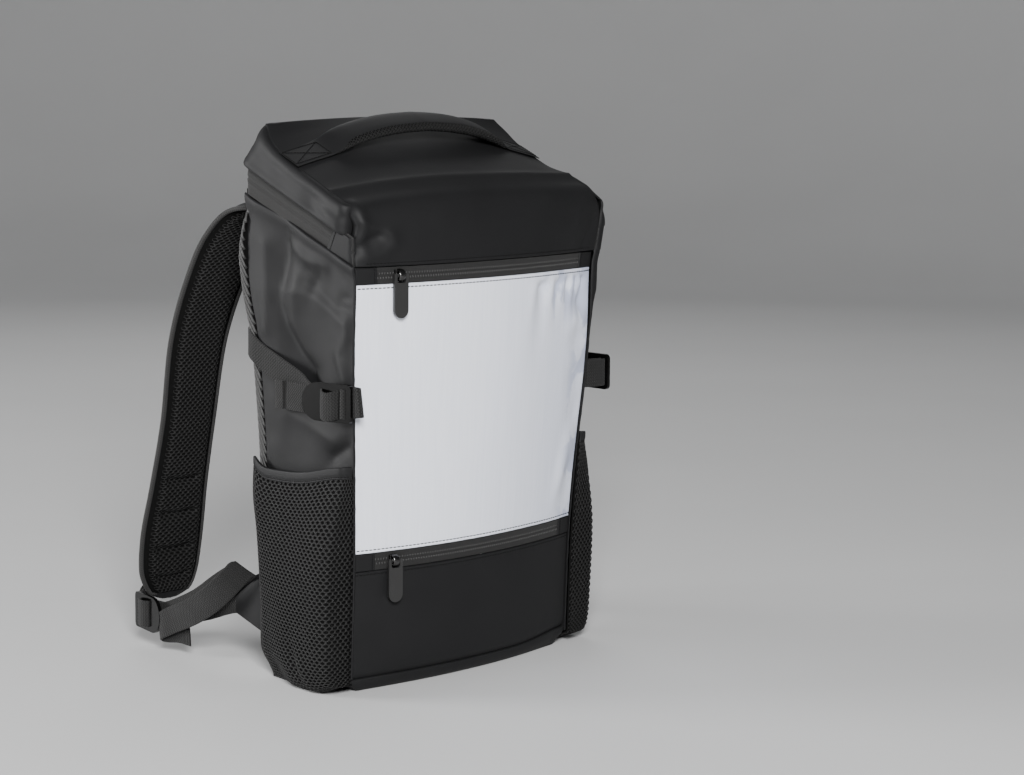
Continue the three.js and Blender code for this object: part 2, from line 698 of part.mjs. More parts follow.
function sliderGeometry() {
  const { deep, tall, half, axis, knuckle, bore } = SLIDER;
  const notch = Math.acos((deep - axis) / knuckle);
  const outline = new THREE.Shape();
  outline.moveTo(SEAM - TAPE_INSET, -tall / 2);
  outline.lineTo(deep, -tall / 2);
  outline.absarc(axis, 0, knuckle, -notch, notch);
  outline.lineTo(deep, tall / 2);
  outline.lineTo(SEAM - TAPE_INSET, tall / 2);
  outline.holes.push(new THREE.Path().absarc(axis, 0, bore, 0, 2 * Math.PI));
  return plate(outline, 2 * half, OUTWARD, [0, 0, 0]);
}

function ringGeometry() {
  const { half, long, wire, round } = RING;
  const outline = roundedBox(half + wire / 2, wire / 2, -long - wire / 2, round);
  outline.holes.push(roundedBox(half - wire / 2, -wire / 2, wire / 2 - long, round - wire / 2));
  return plate(outline, wire, new THREE.Vector3(1, 0, 0), [0, -SLIDER.axis, 0]);
}

function roundedBox(half, top, bottom, round) {
  const outline = new THREE.Shape();
  outline.moveTo(-half + round, bottom);
  outline.absarc(half - round, bottom + round, round, -Math.PI / 2, 0);
  outline.absarc(half - round, top - round, round, 0, Math.PI / 2);
  outline.absarc(round - half, top - round, round, Math.PI / 2, Math.PI);
  outline.absarc(round - half, bottom + round, round, Math.PI, 1.5 * Math.PI);
  return outline;
}

// The tab is the meeting of its side profile, with a tunnel for the ring, and its front outline
function pullGeometry() {
  const { half, neck, long, thick, knuckle, bore } = PULL;
  const top = -RING.long;
  const end = top - long;
  const profile = new THREE.Shape();
  const notch = Math.asin(thick / 2 / knuckle);
  profile.moveTo(SLIDER.axis - thick / 2, end);
  profile.lineTo(SLIDER.axis + thick / 2, end);
  profile.absarc(SLIDER.axis, top, knuckle, notch - Math.PI / 2, 1.5 * Math.PI - notch);
  profile.holes.push(new THREE.Path().absarc(SLIDER.axis, top, bore, 0, 2 * Math.PI));
  const outline = new THREE.Shape();
  outline.moveTo(-neck, top + 2 * knuckle);
  outline.lineTo(-neck, top - knuckle);
  outline.lineTo(-half, top - knuckle - half);
  outline.absarc(0, end + half, half, Math.PI, 2 * Math.PI);
  outline.lineTo(half, top - knuckle - half);
  outline.lineTo(neck, top - knuckle);
  outline.lineTo(neck, top + 2 * knuckle);
  const side = plate(profile, 4 * half, OUTWARD, [0, 0, 0]);
  const front = plate(outline, 8 * knuckle, new THREE.Vector3(1, 0, 0), [0, -SLIDER.axis, 0]);
  const both = manifold(side).intersect(manifold(front)).getMesh();
  return solid(Array.from(both.vertProperties), Array.from(both.triVerts));
}

function addPullers() {
  for (const { name, x, z } of PULLERS) {
    const share = x / (wall.half(z) - CLOTH - SEAM);
    const group = new THREE.Group();
    group.position.set(x, wall.edge(z) - wall.bulge(z) * (1 - share * share), z);
    group.rotation.z = Math.atan((2 * wall.bulge(z) * share) / wall.half(z));
    group.add(named(`${name}_slider`, sliderGeometry(), "metal"));
    group.add(named(`${name}_ring`, ringGeometry(), "metal"));
    group.add(named(`${name}_pull`, pullGeometry(), "rubber"));
    bag.add(group);
  }
}

// Slider of the main zip with its tab, behind the top of the back panel
function addMainSlider() {
  const { x, half, back, thick, low, high, tabTop } = MAIN_SLIDER;
  const outline = new THREE.Shape();
  outline.moveTo(-back, tabTop);
  outline.lineTo(-back, high);
  outline.lineTo(-REAR - SEAM - thick, high);
  outline.lineTo(-REAR - SEAM - thick, low);
  outline.lineTo(-REAR - SEAM, low);
  outline.lineTo(-REAR - SEAM, tabTop);
  add("main_zip_slider", plate(outline, 2 * half, OUTWARD, [x, 0, 0]), "metal");
}

addFront();
addTop();
addLid();
addPair("side_panel", sidePanel(), "coated");
add("back_panel", backPanel(), "mesh");
add("bottom_panel", bottomPanel(), "coated");
addPocket("left", POCKET.left, asBuilt);
addPocket("right", POCKET.right, mirrored);
addHandle();
addPair("shoulder_strap", shoulderStrap(), "mesh");
addCompression("left", COMPRESSION.liftLeft, asBuilt);
addCompression("right", COMPRESSION.liftRight, mirrored);
addLowerStraps();
addPullers();
addMainSlider();

export default bag;
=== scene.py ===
"""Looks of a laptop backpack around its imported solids. Lengths are in millimetres until a mesh is made."""

import json
import math
from types import SimpleNamespace

import bmesh
import bpy
import numpy as np
from mathutils import Matrix, Vector
from mathutils.geometry import delaunay_2d_cdt


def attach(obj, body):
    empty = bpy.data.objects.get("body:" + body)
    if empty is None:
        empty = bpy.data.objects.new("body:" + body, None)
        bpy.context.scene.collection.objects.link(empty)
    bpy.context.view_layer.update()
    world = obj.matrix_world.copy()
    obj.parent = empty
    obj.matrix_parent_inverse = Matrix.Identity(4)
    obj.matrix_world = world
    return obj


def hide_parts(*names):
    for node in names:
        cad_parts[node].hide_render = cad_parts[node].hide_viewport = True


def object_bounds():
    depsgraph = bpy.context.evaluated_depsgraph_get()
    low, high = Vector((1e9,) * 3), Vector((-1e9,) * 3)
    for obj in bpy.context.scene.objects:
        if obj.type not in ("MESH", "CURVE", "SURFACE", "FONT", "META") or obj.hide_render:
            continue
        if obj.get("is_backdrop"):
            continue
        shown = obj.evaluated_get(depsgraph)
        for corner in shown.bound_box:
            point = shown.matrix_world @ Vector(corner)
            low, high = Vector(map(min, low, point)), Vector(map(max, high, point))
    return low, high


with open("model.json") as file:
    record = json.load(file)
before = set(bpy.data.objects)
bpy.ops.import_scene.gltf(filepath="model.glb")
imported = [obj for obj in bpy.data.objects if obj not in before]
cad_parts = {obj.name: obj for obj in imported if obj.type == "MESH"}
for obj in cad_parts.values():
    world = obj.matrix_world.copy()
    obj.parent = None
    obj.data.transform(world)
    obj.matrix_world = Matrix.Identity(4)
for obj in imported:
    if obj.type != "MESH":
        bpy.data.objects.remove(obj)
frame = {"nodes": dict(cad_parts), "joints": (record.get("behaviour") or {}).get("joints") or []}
CAD_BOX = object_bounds()

MM = 0.001
INSIDE = np.array([0.0, -10.0, 230.0])  # a point in the bag, to tell outward from inward
UP = np.array([0.0, 0.0, 1.0])
UV_NAME = "cloth_mm"
SIDE_NAMES = {-1: "left", 1: "right"}


def table(columns, *rows):
    """A short table as named columns"""
    return dict(zip(columns.split(), np.array(rows, float).T))


# Sizes shared with the solids
CLOTH, SEAM, RIM, HEM_Z, SIDE_BACK, REAR = 2.0, 0.4, 1.5, 12.0, 52.0, 61.0
TAPE, TAPE_INSET, WEBBING = 1.4, 0.9, 1.5
LOWER_ZIP, UPPER_ZIP, MAIN_ZIP_LOW = (103.0, 118.0), (344.0, 358.0), 360.0
PATCH_LID, PATCH_SLANT, PATCH_FRONT, PATCH_PROUD, PATCH_CLOTH = 0.056, 0.0206, 0.07, 0.5, 1.0
PAD_TOP, PAD_TAPER = 418.0, 4.0
TOP_ROUND, TOP_RUN = 2.2, 187.0
POCKET_SEAM, SEAM_CORD, BINDING_HIGH, BINDING_CLOTH = 2.6, 2.2, 8.5, 2.2
POCKET_FULL = {-1: 1.0, 1: 1.32}
HANDLE_Y, HANDLE_REACH, HANDLE_PAD = 5.0, 149.0, 104.0
LOCK_LIFT = {-1: 8.0, 1: 28.0}

SECTIONS = table(
    "front back half edge bulge",
    (12, 12, 136, -55, 15), (103, 103, 136.5, -58.5, 18), (190, 195, 141, -63.5, 19),
    (250, 262, 145, -67, 19), (300, 331, 147, -69.5, 19), (344, 395, 147.6, -71.5, 18.5),
    (360, 419.5, 149.5, -72.5, 18))
SIDE_DENTS = table(
    "size share share_wide z z_wide",
    (7, 0.45, 0.34, 268, 46), (3.5, 0.2, 0.1, 335, 60), (3, 0.72, 0.13, 360, 40))
TOP_ROWS = table(
    "run half side_y side_z mid_y mid_z",
    (0, 140, 40.3, 473.6, 40.6, 477.5), (12, 146.5, 28, 460, 28, 471.5), (38, 147.6, 5, 443.6, 4, 459.5),
    (75, 147.8, -28, 427.3, -30, 444), (113, 148.6, -60, 411.5, -67, 426.5),
    (133, 149.2, -71.5, 402.5, -83, 413), (157, 149.5, -74, 386, -91, 389),
    (187, 145.6, -72.3, 358.4, -90.6, 358.4))
LID_LOOPS = table(
    "half_front half_rear front rear corner low high kick",
    (149.5, 152, -72.5, 61, 9, 360, 419.5, 0), (152, 152, -74, 61, 10, 378.5, 439.5, 0),
    (152, 150, -75, 42, 16, 405, 475, 0.2))
POCKET_ROWS = table(
    "way z out",
    (0, 1.6, 2), (0.05, 1.0, 12), (0.1, 3, 20), (0.16, 10, 24.5), (0.3, 34, 27), (0.62, 108, 27),
    (0.86, 152, 17), (1, 178, 9))
POCKET_DEPTH = table(
    "share full", (0, 0), (0.025, 0.74), (0.06, 0.98), (0.25, 1), (0.7, 0.72), (0.92, 0.42), (1, 0.1))
HANDLE_ROWS = table(
    "x top thick half",
    (0, 19.4, 9, 14.5), (45, 17.4, 9, 14.5), (80, 12.9, 8.6, 14.5), (93, 9.1, 6.8, 14.5), (102, 4.2, 2.6, 14),
    (110, 1.7, 1.1, 13.8), (149, 1.3, 0.9, 13.8))
# The strap's width leans: its outer edge stands further from the back than its inner one
STRAP_ROWS = table(
    "x y z half thick lean",
    (-82, 60.7, 393, 29, 9, 0), (-84, 80, 399, 30, 10, 0.12), (-90, 108, 395, 30, 11, 0.25),
    (-96, 131, 371, 30, 11, 0.33), (-102, 150, 332, 29.5, 11, 0.28), (-106, 168, 281, 29, 11, 0.2),
    (-104, 185.5, 205, 28.2, 11, 0.14), (-103.5, 200, 145, 30.7, 11, 0.09),
    (-102.5, 211, 100, 34.3, 11, 0.05), (-100.5, 218, 66, 34, 10, 0), (-98, 221, 50, 28.2, 9, 0),
    (-97.5, 222, 41, 20.5, 8, 0), (-97.5, 222.5, 37, 8, 7, 0))
# Routes of webbing: distance from the lock's sewn bar, and out of the lock's plane
MIDDLE_BAR_ROUTE = (
    (40, -5.6), (30, -5.4), (20, -5), (12, -4.2), (7.8, -2.6), (6.4, 0), (7, 3), (10, 5.4), (15, 6.4),
    (20, 5.6), (23.8, 2.6), (25.6, -0.4), (29, -2.7), (36, -2.9))
SEWN_BAR_ROUTE = (
    (-3, -3.2), (-1.3, -1.7), (-0.85, 0), (-0.3, 1.8), (1.6, 2.6), (3.3, 1.7), (3.75, 0), (3.4, -1.7),
    (2.4, -2.9))
# The lower strap's routes also give a rise, a lean within its plane and a roll out of it, in degrees
LOWER_ROUTE = ((150, -3.2, 26, 0, 0), (125, -3.2, 26, 5, 0), (90, 0.2, 15, 8, 0), (55, 1, 5, 4, 0))
TAIL_ROUTE = (
    (46, 4.2, 3, 5, 0), (80, 4.4, 17.5, 25, 5), (112, 4.4, 37, 30, 20), (138, 6, 52, 30, 40),
    (148, 8.5, 57, 30, 46), (151, 11, 58.5, 30, 46), (148, 13.5, 57.5, 30, 46), (138, 15, 48, 30, 40),
    (112, 16.5, 27, 30, 22), (85, 16, 11.5, 28, 10), (60, 15, 1, 22, 4), (46, 15, -6, 12, 0),
    (42, 13, -8.5, 8, 0), (45, 10.5, -10, 6, 0), (60, 9, -9, 5, 0), (75, 8.5, -10, 5, 0))
LOOP_START = ((-104, 226.6, 55), (-115, 227.2, 48), (-126, 228, 38))
LOOP_END = ((-130.5, 222.4, 34.5), (-122.5, 225.8, 41))

# Creases: points along each, how softly it ends to the left and to the right of its way, and its height
LEFT_CREASES = (
    (((8, 374), (16, 339), (19, 325), (13, 304), (2, 287), (-14, 270)), 16, 9, -4.5),
    (((36, 372), (35, 330), (38, 300)), 9, 9, 2.2),
    (((2, 374), (-16, 363), (-38, 358)), 8, 8, 2.6),
    (((-18, 354), (-26, 345), (-21, 337)), 5, 6, -1.8),
    (((-33, 356), (-27, 346)), 4, 5, -1.4),
    (((14, 334), (-4, 335), (-21, 333), (-40, 323), (-62, 311)), 9, 12, 1.8),
    (((-2, 345), (4, 310), (-8, 285)), 22, 22, 2.5),
    (((-11, 344), (-30, 337), (-54, 322)), 8, 8, -1.6),
    (((-70, 334), (-57, 332), (-56, 326), (-70, 323)), 4, 4, -1.4),
    (((-70, 215), (-55, 208), (-40, 199)), 6, 8, -4.2),
    (((12, 232), (-20, 222), (-46, 212)), 12, 14, 2.6),
    (((-64, 302), (-52, 286), (-60, 266)), 9, 9, 2.2))
RIGHT_CREASES = (
    (((6, 374), (-12, 340), (-8, 310)), 6, 12, -5.0),
    (((-40, 352), (-68, 322)), 7, 8, 2.6),
    (((-24, 342), (-62, 304)), 8, 9, -3.0),
    (((30, 356), (20, 310)), 8, 8, 2.0),
    (((-46, 212), (-68, 224)), 6, 7, -2.6))
TOP_CREASES = (
    (((-151, 369), (-138, 378), (-125, 384)), 7, 6, -4.6),
    (((-146, 396), (-128, 391), (-114, 385), (-110, 377), (-120, 369), (-136, 366)), 6, 6, 1.8),
    (((142, 384), (128, 366)), 6, 6, -2.2),
    (((120, 392), (112, 372)), 8, 8, 1.2))
# Gathers under the upper front zip: place across, width, how far down they run, how deep
GATHERS = table(
    "x wide long deep",
    (58, 5, 22, 0.8), (72, 8, 34, -2.4), (84, 4, 16, 1.2), (94, 5, 26, -1.8), (103, 3.5, 14, 1.2),
    (110, 3.5, 22, -1.8), (117, 3, 24, 2.0), (122, 3, 18, -2.0), (128, 3, 24, 2.2), (134, 3.5, 30, -2.2))


# Number helpers

SAMPLES = 801  # readings along a line whose length is measured
NOISE_CELLS, NOISE_SHIFT = 97, 40.5
CREASE_TIP, CREASE_FALL = 1.5, 0.7


def lerp(a, b, t):
    return a + (b - a) * t


def bump(value, centre, width):
    """A soft hill of height 1; its centre and width often come as a named pair"""
    return np.exp(-(((value - centre) / width) ** 2))


def smooth(t):
    t = np.clip(t, 0, 1)
    return t * t * (3 - 2 * t)


def ease(value, start, span):
    """A share that rises from 0 at the start to 1 after the span; both often come as a named pair"""
    return smooth((value - start) / span)


def hills(rows, **places):
    """Sum of soft hills in a table with a size, and a middle and a width for each place"""
    total = 0.0
    for k, size in enumerate(rows["size"]):
        for name, value in places.items():
            size = size * bump(value, rows[name][k], rows[f"{name}_wide"][k])
        total = total + size
    return total


def unit(v):
    return v / np.maximum(np.linalg.norm(v, axis=-1, keepdims=True), 1e-9)


def stack(x, y, z):
    return np.stack(np.broadcast_arrays(np.asarray(x, float), y, z), -1)


def lengths(line):
    """Distance along a line of points"""
    return np.concatenate([[0], np.cumsum(np.linalg.norm(np.diff(line, axis=0), axis=1))])


def curve(x, y):
    """Smooth curve through values y at places x"""
    order = np.arange(len(x))
    after, before = np.minimum(order + 1, len(x) - 1), np.maximum(order - 1, 0)
    slope = (y[after] - y[before]) / (x[after] - x[before])

    def read(value):
        value = np.asarray(value, float)
        i = np.clip(np.searchsorted(x, value) - 1, 0, len(x) - 2)
        span = x[i + 1] - x[i]
        t = np.clip((value - x[i]) / span, 0, 1)
        leave = slope[i] * t * (1 - t) ** 2
        arrive = slope[i + 1] * t * t * (1 - t)
        return lerp(y[i], y[i + 1], smooth(t)) + span * (leave - arrive)

    return read


def curves(rows):
    """Smooth curves through the columns of a table, each read against the first column"""
    key, *columns = rows.values()
    return [curve(key, column) for column in columns]


def noise(a, b, size, seed):
    """Smooth noise from -1 to 1 over two lengths"""
    values = np.random.default_rng(seed).uniform(-1, 1, (NOISE_CELLS, NOISE_CELLS))
    x, y = np.broadcast_arrays(np.asarray(a) / size + NOISE_SHIFT, np.asarray(b) / size + NOISE_SHIFT)
    i, j = np.floor(x).astype(int), np.floor(y).astype(int)
    s, t = smooth(x - i), smooth(y - j)

    def cell(across, up):
        return values[(i + across) % NOISE_CELLS, (j + up) % NOISE_CELLS]

    return lerp(lerp(cell(0, 0), cell(1, 0), s), lerp(cell(0, 1), cell(1, 1), s), t)


def waves(a, b, *rows):
    """Sum of noises, each with its height, size and seed"""
    return sum(high * noise(a, b, size, seed) for high, size, seed in rows)


def creases(rows, a, b):
    """Sum of ridges and valleys, each along a broken line"""
    total = np.zeros(np.broadcast(a, b).shape)
    for points, left, right, high in rows:
        nearest = np.full(total.shape, np.inf)
        on_left = np.zeros(total.shape, bool)
        for (a0, b0), (a1, b1) in zip(points, points[1:]):
            da, db = a1 - a0, b1 - b0
            share = np.clip(((a - a0) * da + (b - b0) * db) / (da * da + db * db), 0, 1)
            away = np.hypot(a - a0 - share * da, b - b0 - share * db)
            closer = away < nearest
            nearest = np.where(closer, away, nearest)
            on_left = np.where(closer, da * (b - b0) - db * (a - a0) > 0, on_left)
        soft = np.where(on_left, left, right)
        away = np.sqrt(nearest**2 + CREASE_TIP**2) - CREASE_TIP
        total += high * np.exp(-away / (CREASE_FALL * soft))
    return total


def spline(points):
    """Centripetal curve through points, read at a share from 0 to 1"""
    p = np.asarray(points, float)
    p = np.vstack([2 * p[0] - p[1], p, 2 * p[-1] - p[-2]])
    step = np.maximum(np.linalg.norm(np.diff(p, axis=0), axis=1), 1e-6) ** 0.5

    def read(share):
        place = np.clip(np.asarray(share, float), 0, 1) * (len(p) - 3)
        k = np.minimum(place.astype(int), len(p) - 4)
        t = (place - k)[..., None]
        a, b, c, d = p[k], p[k + 1], p[k + 2], p[k + 3]
        s0, s1, s2 = (step[k + n][..., None] for n in range(3))
        leave = ((b - a) / s0 - (c - a) / (s0 + s1) + (c - b) / s1) * s1
        arrive = ((c - b) / s1 - (d - b) / (s1 + s2) + (d - c) / s2) * s1
        square, cube = t * t, t * t * t
        start = (2 * cube - 3 * square + 1) * b + (cube - 2 * square + t) * leave
        return start + (3 * square - 2 * cube) * c + (cube - square) * arrive

    return read


def evenly(place, across=0.5, along=0.5):
    """The same surface read by length: returns it with its width and height"""
    t = np.linspace(0, 1, SAMPLES)
    widths = lengths(place(t, np.full_like(t, along)))
    heights = lengths(place(np.full_like(t, across), t))
    width, height = widths[-1], heights[-1]

    def even(u, v):
        return place(np.interp(u * width, widths, t), np.interp(v * height, heights, t))

    return even, width, height


def normals_at(place, u, v, step=0.002):
    side = place(np.clip(u + step, 0, 1), v) - place(np.clip(u - step, 0, 1), v)
    up = place(u, np.clip(v + step, 0, 1)) - place(u, np.clip(v - step, 0, 1))
    return unit(np.cross(side, up))


def outward(points):
    """Normals of a grid of points that face away from the inside of the bag"""
    normals = unit(np.cross(np.gradient(points, axis=1), np.gradient(points, axis=0)))
    return normals * np.sign(np.sum(normals * (points - INSIDE)))


def sideways(line, normals):
    """Directions across a line that lies on a surface"""
    return unit(np.cross(unit(np.gradient(line, axis=0)), normals))


# Materials


class Look:
    """A procedural material and the record's slot that it belongs to"""

    def __init__(self, name, slot, roughness, metallic=0.0, specular=0.5, sheen=0.0):
        self.slot = slot
        self.material = bpy.data.materials.new(name)
        self.material.use_nodes = True
        self.tree = self.material.node_tree
        self.shader = self.tree.nodes["Principled BSDF"]
        self.shader.inputs["Roughness"].default_value = roughness
        self.shader.inputs["Metallic"].default_value = metallic
        self.shader.inputs["Specular IOR Level"].default_value = specular
        self.shader.inputs["Sheen Weight"].default_value = sheen
        self.normal = None

    def add(self, kind, inputs, **settings):
        """Adds a node; its inputs are numbers, colours or sockets"""
        node = self.tree.nodes.new("ShaderNode" + kind)
        for key, value in settings.items():
            setattr(node, key, value)
        for key, value in inputs.items():
            if isinstance(value, bpy.types.NodeSocket):
                self.tree.links.new(value, node.inputs[key])
            else:
                node.inputs[key].default_value = value
        return node

    def math(self, operation, *values):
        return self.add("Math", dict(enumerate(values)), operation=operation).outputs[0]

    def grain(self, size, detail=2.0):
        """Noise with features of a size in millimetres"""
        place = self.add("TexCoord", {}).outputs["Object"]
        inputs = {"Vector": place, "Scale": 1 / (size * MM), "Detail": detail}
        return self.add("TexNoise", inputs).outputs["Fac"]

    def cloth_axes(self):
        place = self.add("UVMap", {}, uv_map=UV_NAME).outputs["UV"]
        parts = self.add("SeparateXYZ", {"Vector": place})
        return parts.outputs["X"], parts.outputs["Y"]

    def streaks(self, across, along, stretch, size):
        """Noise that is drawn out along the cloth"""
        place = self.add("CombineXYZ", {"X": across, "Y": self.math("MULTIPLY", along, stretch)}).outputs[0]
        return self.add("TexNoise", {"Vector": place, "Scale": 1 / size, "Detail": 4.0}).outputs["Fac"]

    def ribs(self, axis, pitch, shift=0.0):
        """A wave from 0 to 1 across ribs of a pitch in millimetres"""
        turn = self.math("MULTIPLY_ADD", axis, 2 * math.pi / pitch, shift)
        return self.math("MULTIPLY_ADD", self.math("SINE", turn), 0.5, 0.5)

    def ramp(self, value, low, high):
        """A share from 0 at the low value to 1 at the high one"""
        inputs = {"Value": value, "From Min": low, "From Max": high}
        return self.add("MapRange", inputs, interpolation_type="SMOOTHSTEP").outputs["Result"]

    def blend(self, first, second, share):
        return self.math("MULTIPLY_ADD", first, share, self.math("MULTIPLY", second, 1 - share))

    def color(self, factor, dark, light):
        mix = self.add("Mix", {0: factor, 6: (*dark, 1), 7: (*light, 1)}, data_type="RGBA")
        self.tree.links.new(mix.outputs[2], self.shader.inputs["Base Color"])

    def rough(self, factor, low, high):
        value = self.math("MULTIPLY_ADD", factor, high - low, low)
        self.tree.links.new(value, self.shader.inputs["Roughness"])

    def relief(self, height, depth, strength=1.0):
        """Adds bump of a depth in millimetres"""
        inputs = {"Height": height, "Distance": depth * MM, "Strength": strength}
        if self.normal is not None:
            inputs["Normal"] = self.normal
        self.normal = self.add("Bump", inputs).outputs["Normal"]
        self.tree.links.new(self.normal, self.shader.inputs["Normal"])


def coated_look():
    look = Look("coated_cloth", "coated_cloth", 0.6, specular=0.18)
    broad, fine = look.grain(60, 3.0), look.grain(0.9)
    look.color(broad, (0.0065, 0.0065, 0.0069), (0.0105, 0.0105, 0.0111))
    look.rough(look.blend(fine, broad, 0.35), 0.5, 0.7)
    look.relief(fine, 0.12, 0.3)
    look.relief(look.grain(3.5), 0.3, 0.15)
    return look


# Where painted shade darkens the reflective cloth, standing in for the light that its gathers, folds and
# right part send away: start and end of each change across and along it
GATHER_SHADE_ACROSS, GATHER_SHADE_ALONG, FOLD_SHADE_ACROSS, SHADE_ACROSS = (195, 240), (150, 215), (240, 282), (90, 290)
BROAD_SHADE, SHADE_SHARE, THREAD_PITCH = 0.36, 0.95, 0.9


def reflective_look():
    look = Look("reflective_cloth", "reflective_cloth", 0.45, specular=0.4, sheen=0.1)
    across, along = look.cloth_axes()
    threads = look.math("MULTIPLY", look.ribs(across, THREAD_PITCH), look.ribs(along, THREAD_PITCH))
    streaks = look.streaks(across, along, 0.04, 3.0)
    # Painted shade: a bluish darkening in patches over the gathers of the top right corner and the folds
    # along the right edge, and a broad darkening towards the right
    corner = look.math("MULTIPLY", look.ramp(across, *GATHER_SHADE_ACROSS), look.ramp(along, *GATHER_SHADE_ALONG))
    patches = look.ramp(look.streaks(across, along, 0.35, 12.0), 0.38, 0.56)
    gather_shade = look.math("MULTIPLY", corner, patches)
    patches = look.ramp(look.streaks(across, along, 0.8, 30.0), 0.44, 0.58)
    folds = look.math("MULTIPLY", look.ramp(across, *FOLD_SHADE_ACROSS), patches)
    broad = look.math("MULTIPLY", look.ramp(across, *SHADE_ACROSS), BROAD_SHADE)
    painted_shade = look.math("MAXIMUM", look.math("MAXIMUM", gather_shade, folds), broad)
    shine = look.math("MULTIPLY_ADD", look.blend(streaks, threads, 0.8), 0.38, 0.62)
    # The cloth's own threads and streaks set its tone; the painted shade pulls it towards the dark bluish
    # colour
    bright = look.math("MULTIPLY_ADD", painted_shade, -SHADE_SHARE, shine)
    look.color(bright, (0.44, 0.475, 0.6), (0.87, 0.89, 0.95))
    look.rough(streaks, 0.36, 0.55)
    look.relief(threads, 0.12, 0.3)
    return look


def grey(value):
    """A near-black with a trace of warmth, as dyed yarn and plastic have"""
    return value, 0.985 * value, 0.975 * value


def woven_look(name, slot, dark, light, ribs, rows, depth, cross):
    """Woven tape or webbing: ribs along it and rows across, with the share of the rows"""
    look = Look(name, slot, 0.8, specular=0.25, sheen=0.05)
    across, along = look.cloth_axes()
    lengthways = look.ribs(across, ribs)
    stagger = look.math("MULTIPLY", look.ribs(across, 2 * ribs), math.pi)
    height = look.blend(look.ribs(along, rows, stagger), lengthways, cross)
    look.color(look.blend(height, look.grain(9), 0.7), grey(dark), grey(light))
    look.rough(height, 0.92, 0.72)
    look.relief(height, depth)
    return look


def grained_look(name, slot, dark, light, low, high, size, depth, specular, metallic=0.0):
    """Moulded, knitted or plated surfaces: fine grain in colour, gloss and relief"""
    look = Look(name, slot, low, metallic, specular)
    fine, broad = look.grain(size), look.grain(25, 3.0)
    look.color(look.blend(fine, broad, 0.5), grey(dark), grey(light))
    look.rough(broad, low, high)
    look.relief(fine, depth, 0.5)
    return look


# Woven looks: material, slot, dark and light grey, pitch of ribs and of rows, depth, share of the rows
WOVEN = {
    "tape": ("zip_tape", "zip_tape", 0.006, 0.02, 1.4, 1.2, 0.15, 0.45),
    "webbing": ("webbing", "webbing", 0.001, 0.016, 1.4, 2.4, 0.5, 0.75),
    "binding": ("edge_binding", "webbing", 0.009, 0.036, 1.6, 2.2, 0.4, 0.7)}
# Grained looks: material, slot, dark and light grey, least and most roughness, size and depth of the grain,
# specular level and, for metal, how metallic it is
GRAINED = {
    "net": ("open_mesh", "mesh", 0.004, 0.011, 0.6, 0.8, 0.5, 0.12, 0.3),
    "air_net": ("air_mesh", "air_mesh", 0.004, 0.012, 0.6, 0.8, 0.5, 0.12, 0.3),
    "ribbed": ("ribbed_edge", "air_mesh", 0.012, 0.028, 0.5, 0.7, 0.5, 0.12, 0.5),
    "foam": ("mesh_backing", "air_mesh", 0.002, 0.004, 0.9, 1.0, 1.2, 0.3, 0.1),
    # The pocket's near-black sheet behind its net is painted shade, for the shaded inside of the pocket
    "backing": ("pocket_shade_sheet", "mesh", 0.002, 0.005, 0.85, 1.0, 0.8, 0.2, 0.1),
    "plastic": ("moulded_plastic", "plastic", 0.001, 0.003, 0.1, 0.16, 0.4, 0.02, 0.16),
    "pull": ("pull_tab", "pull_tab", 0.012, 0.018, 0.34, 0.46, 0.5, 0.04, 0.5),
    "metal": ("dark_plated_metal", "zip_metal", 0.06, 0.1, 0.2, 0.32, 0.8, 0.01, 0.5, 1.0),
    # The coil's own colour is near-black; its grey is lighter than the tape's as a painted highlight for the
    # glints on its teeth
    "teeth": ("zip_coil", "zip_tape", 0.02, 0.05, 0.3, 0.45, 0.6, 0.03, 0.5),
    # The thread's own colour is black; it is darker than the coated cloth as painted shade, standing in for
    # the shadowed stitch holes
    "thread": ("sewing_thread", "webbing", 0.002, 0.006, 0.7, 0.85, 0.3, 0.06, 0.15)}
LOOKS = {"coated": coated_look(), "reflective": reflective_look()}
LOOKS.update({key: woven_look(*row) for key, row in WOVEN.items()})
LOOKS.update({key: grained_look(*row) for key, row in GRAINED.items()})


# Meshes


def put(name, data):
    """A new object in the scene"""
    thing = bpy.data.objects.new(name, data)
    bpy.context.scene.collection.objects.link(thing)
    return thing


def build(name, points, faces, look, uv=None, body="bag", node=None):
    """Makes a piece from points in millimetres and faces"""
    mesh = bpy.data.meshes.new(name)
    mesh.from_pydata((np.asarray(points) * MM).tolist(), [], [list(face) for face in faces])
    return finished(name, mesh, look, uv, body, node)


def finished(name, mesh, look, uv=None, body="bag", node=None, crisp=None):
    """Turns a mesh into a piece that rides on a body, stands for a node and has its look"""
    shape = bmesh.new()
    shape.from_mesh(mesh)
    bmesh.ops.recalc_face_normals(shape, faces=shape.faces)
    shape.to_mesh(mesh)
    shape.free()
    if uv is not None:
        corner = np.empty(len(mesh.loops), int)
        mesh.loops.foreach_get("vertex_index", corner)
        mesh.uv_layers.new(name=UV_NAME).data.foreach_set("uv", np.asarray(uv, float)[corner].ravel())
    mesh.shade_smooth()
    if crisp is not None:
        mesh.set_sharp_from_angle(angle=math.radians(crisp))
    mesh.materials.clear()
    mesh.materials.append(LOOKS[look].material)
    piece = put(name, mesh)
    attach(piece, body)
    if node:
        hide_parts(node)
    return piece


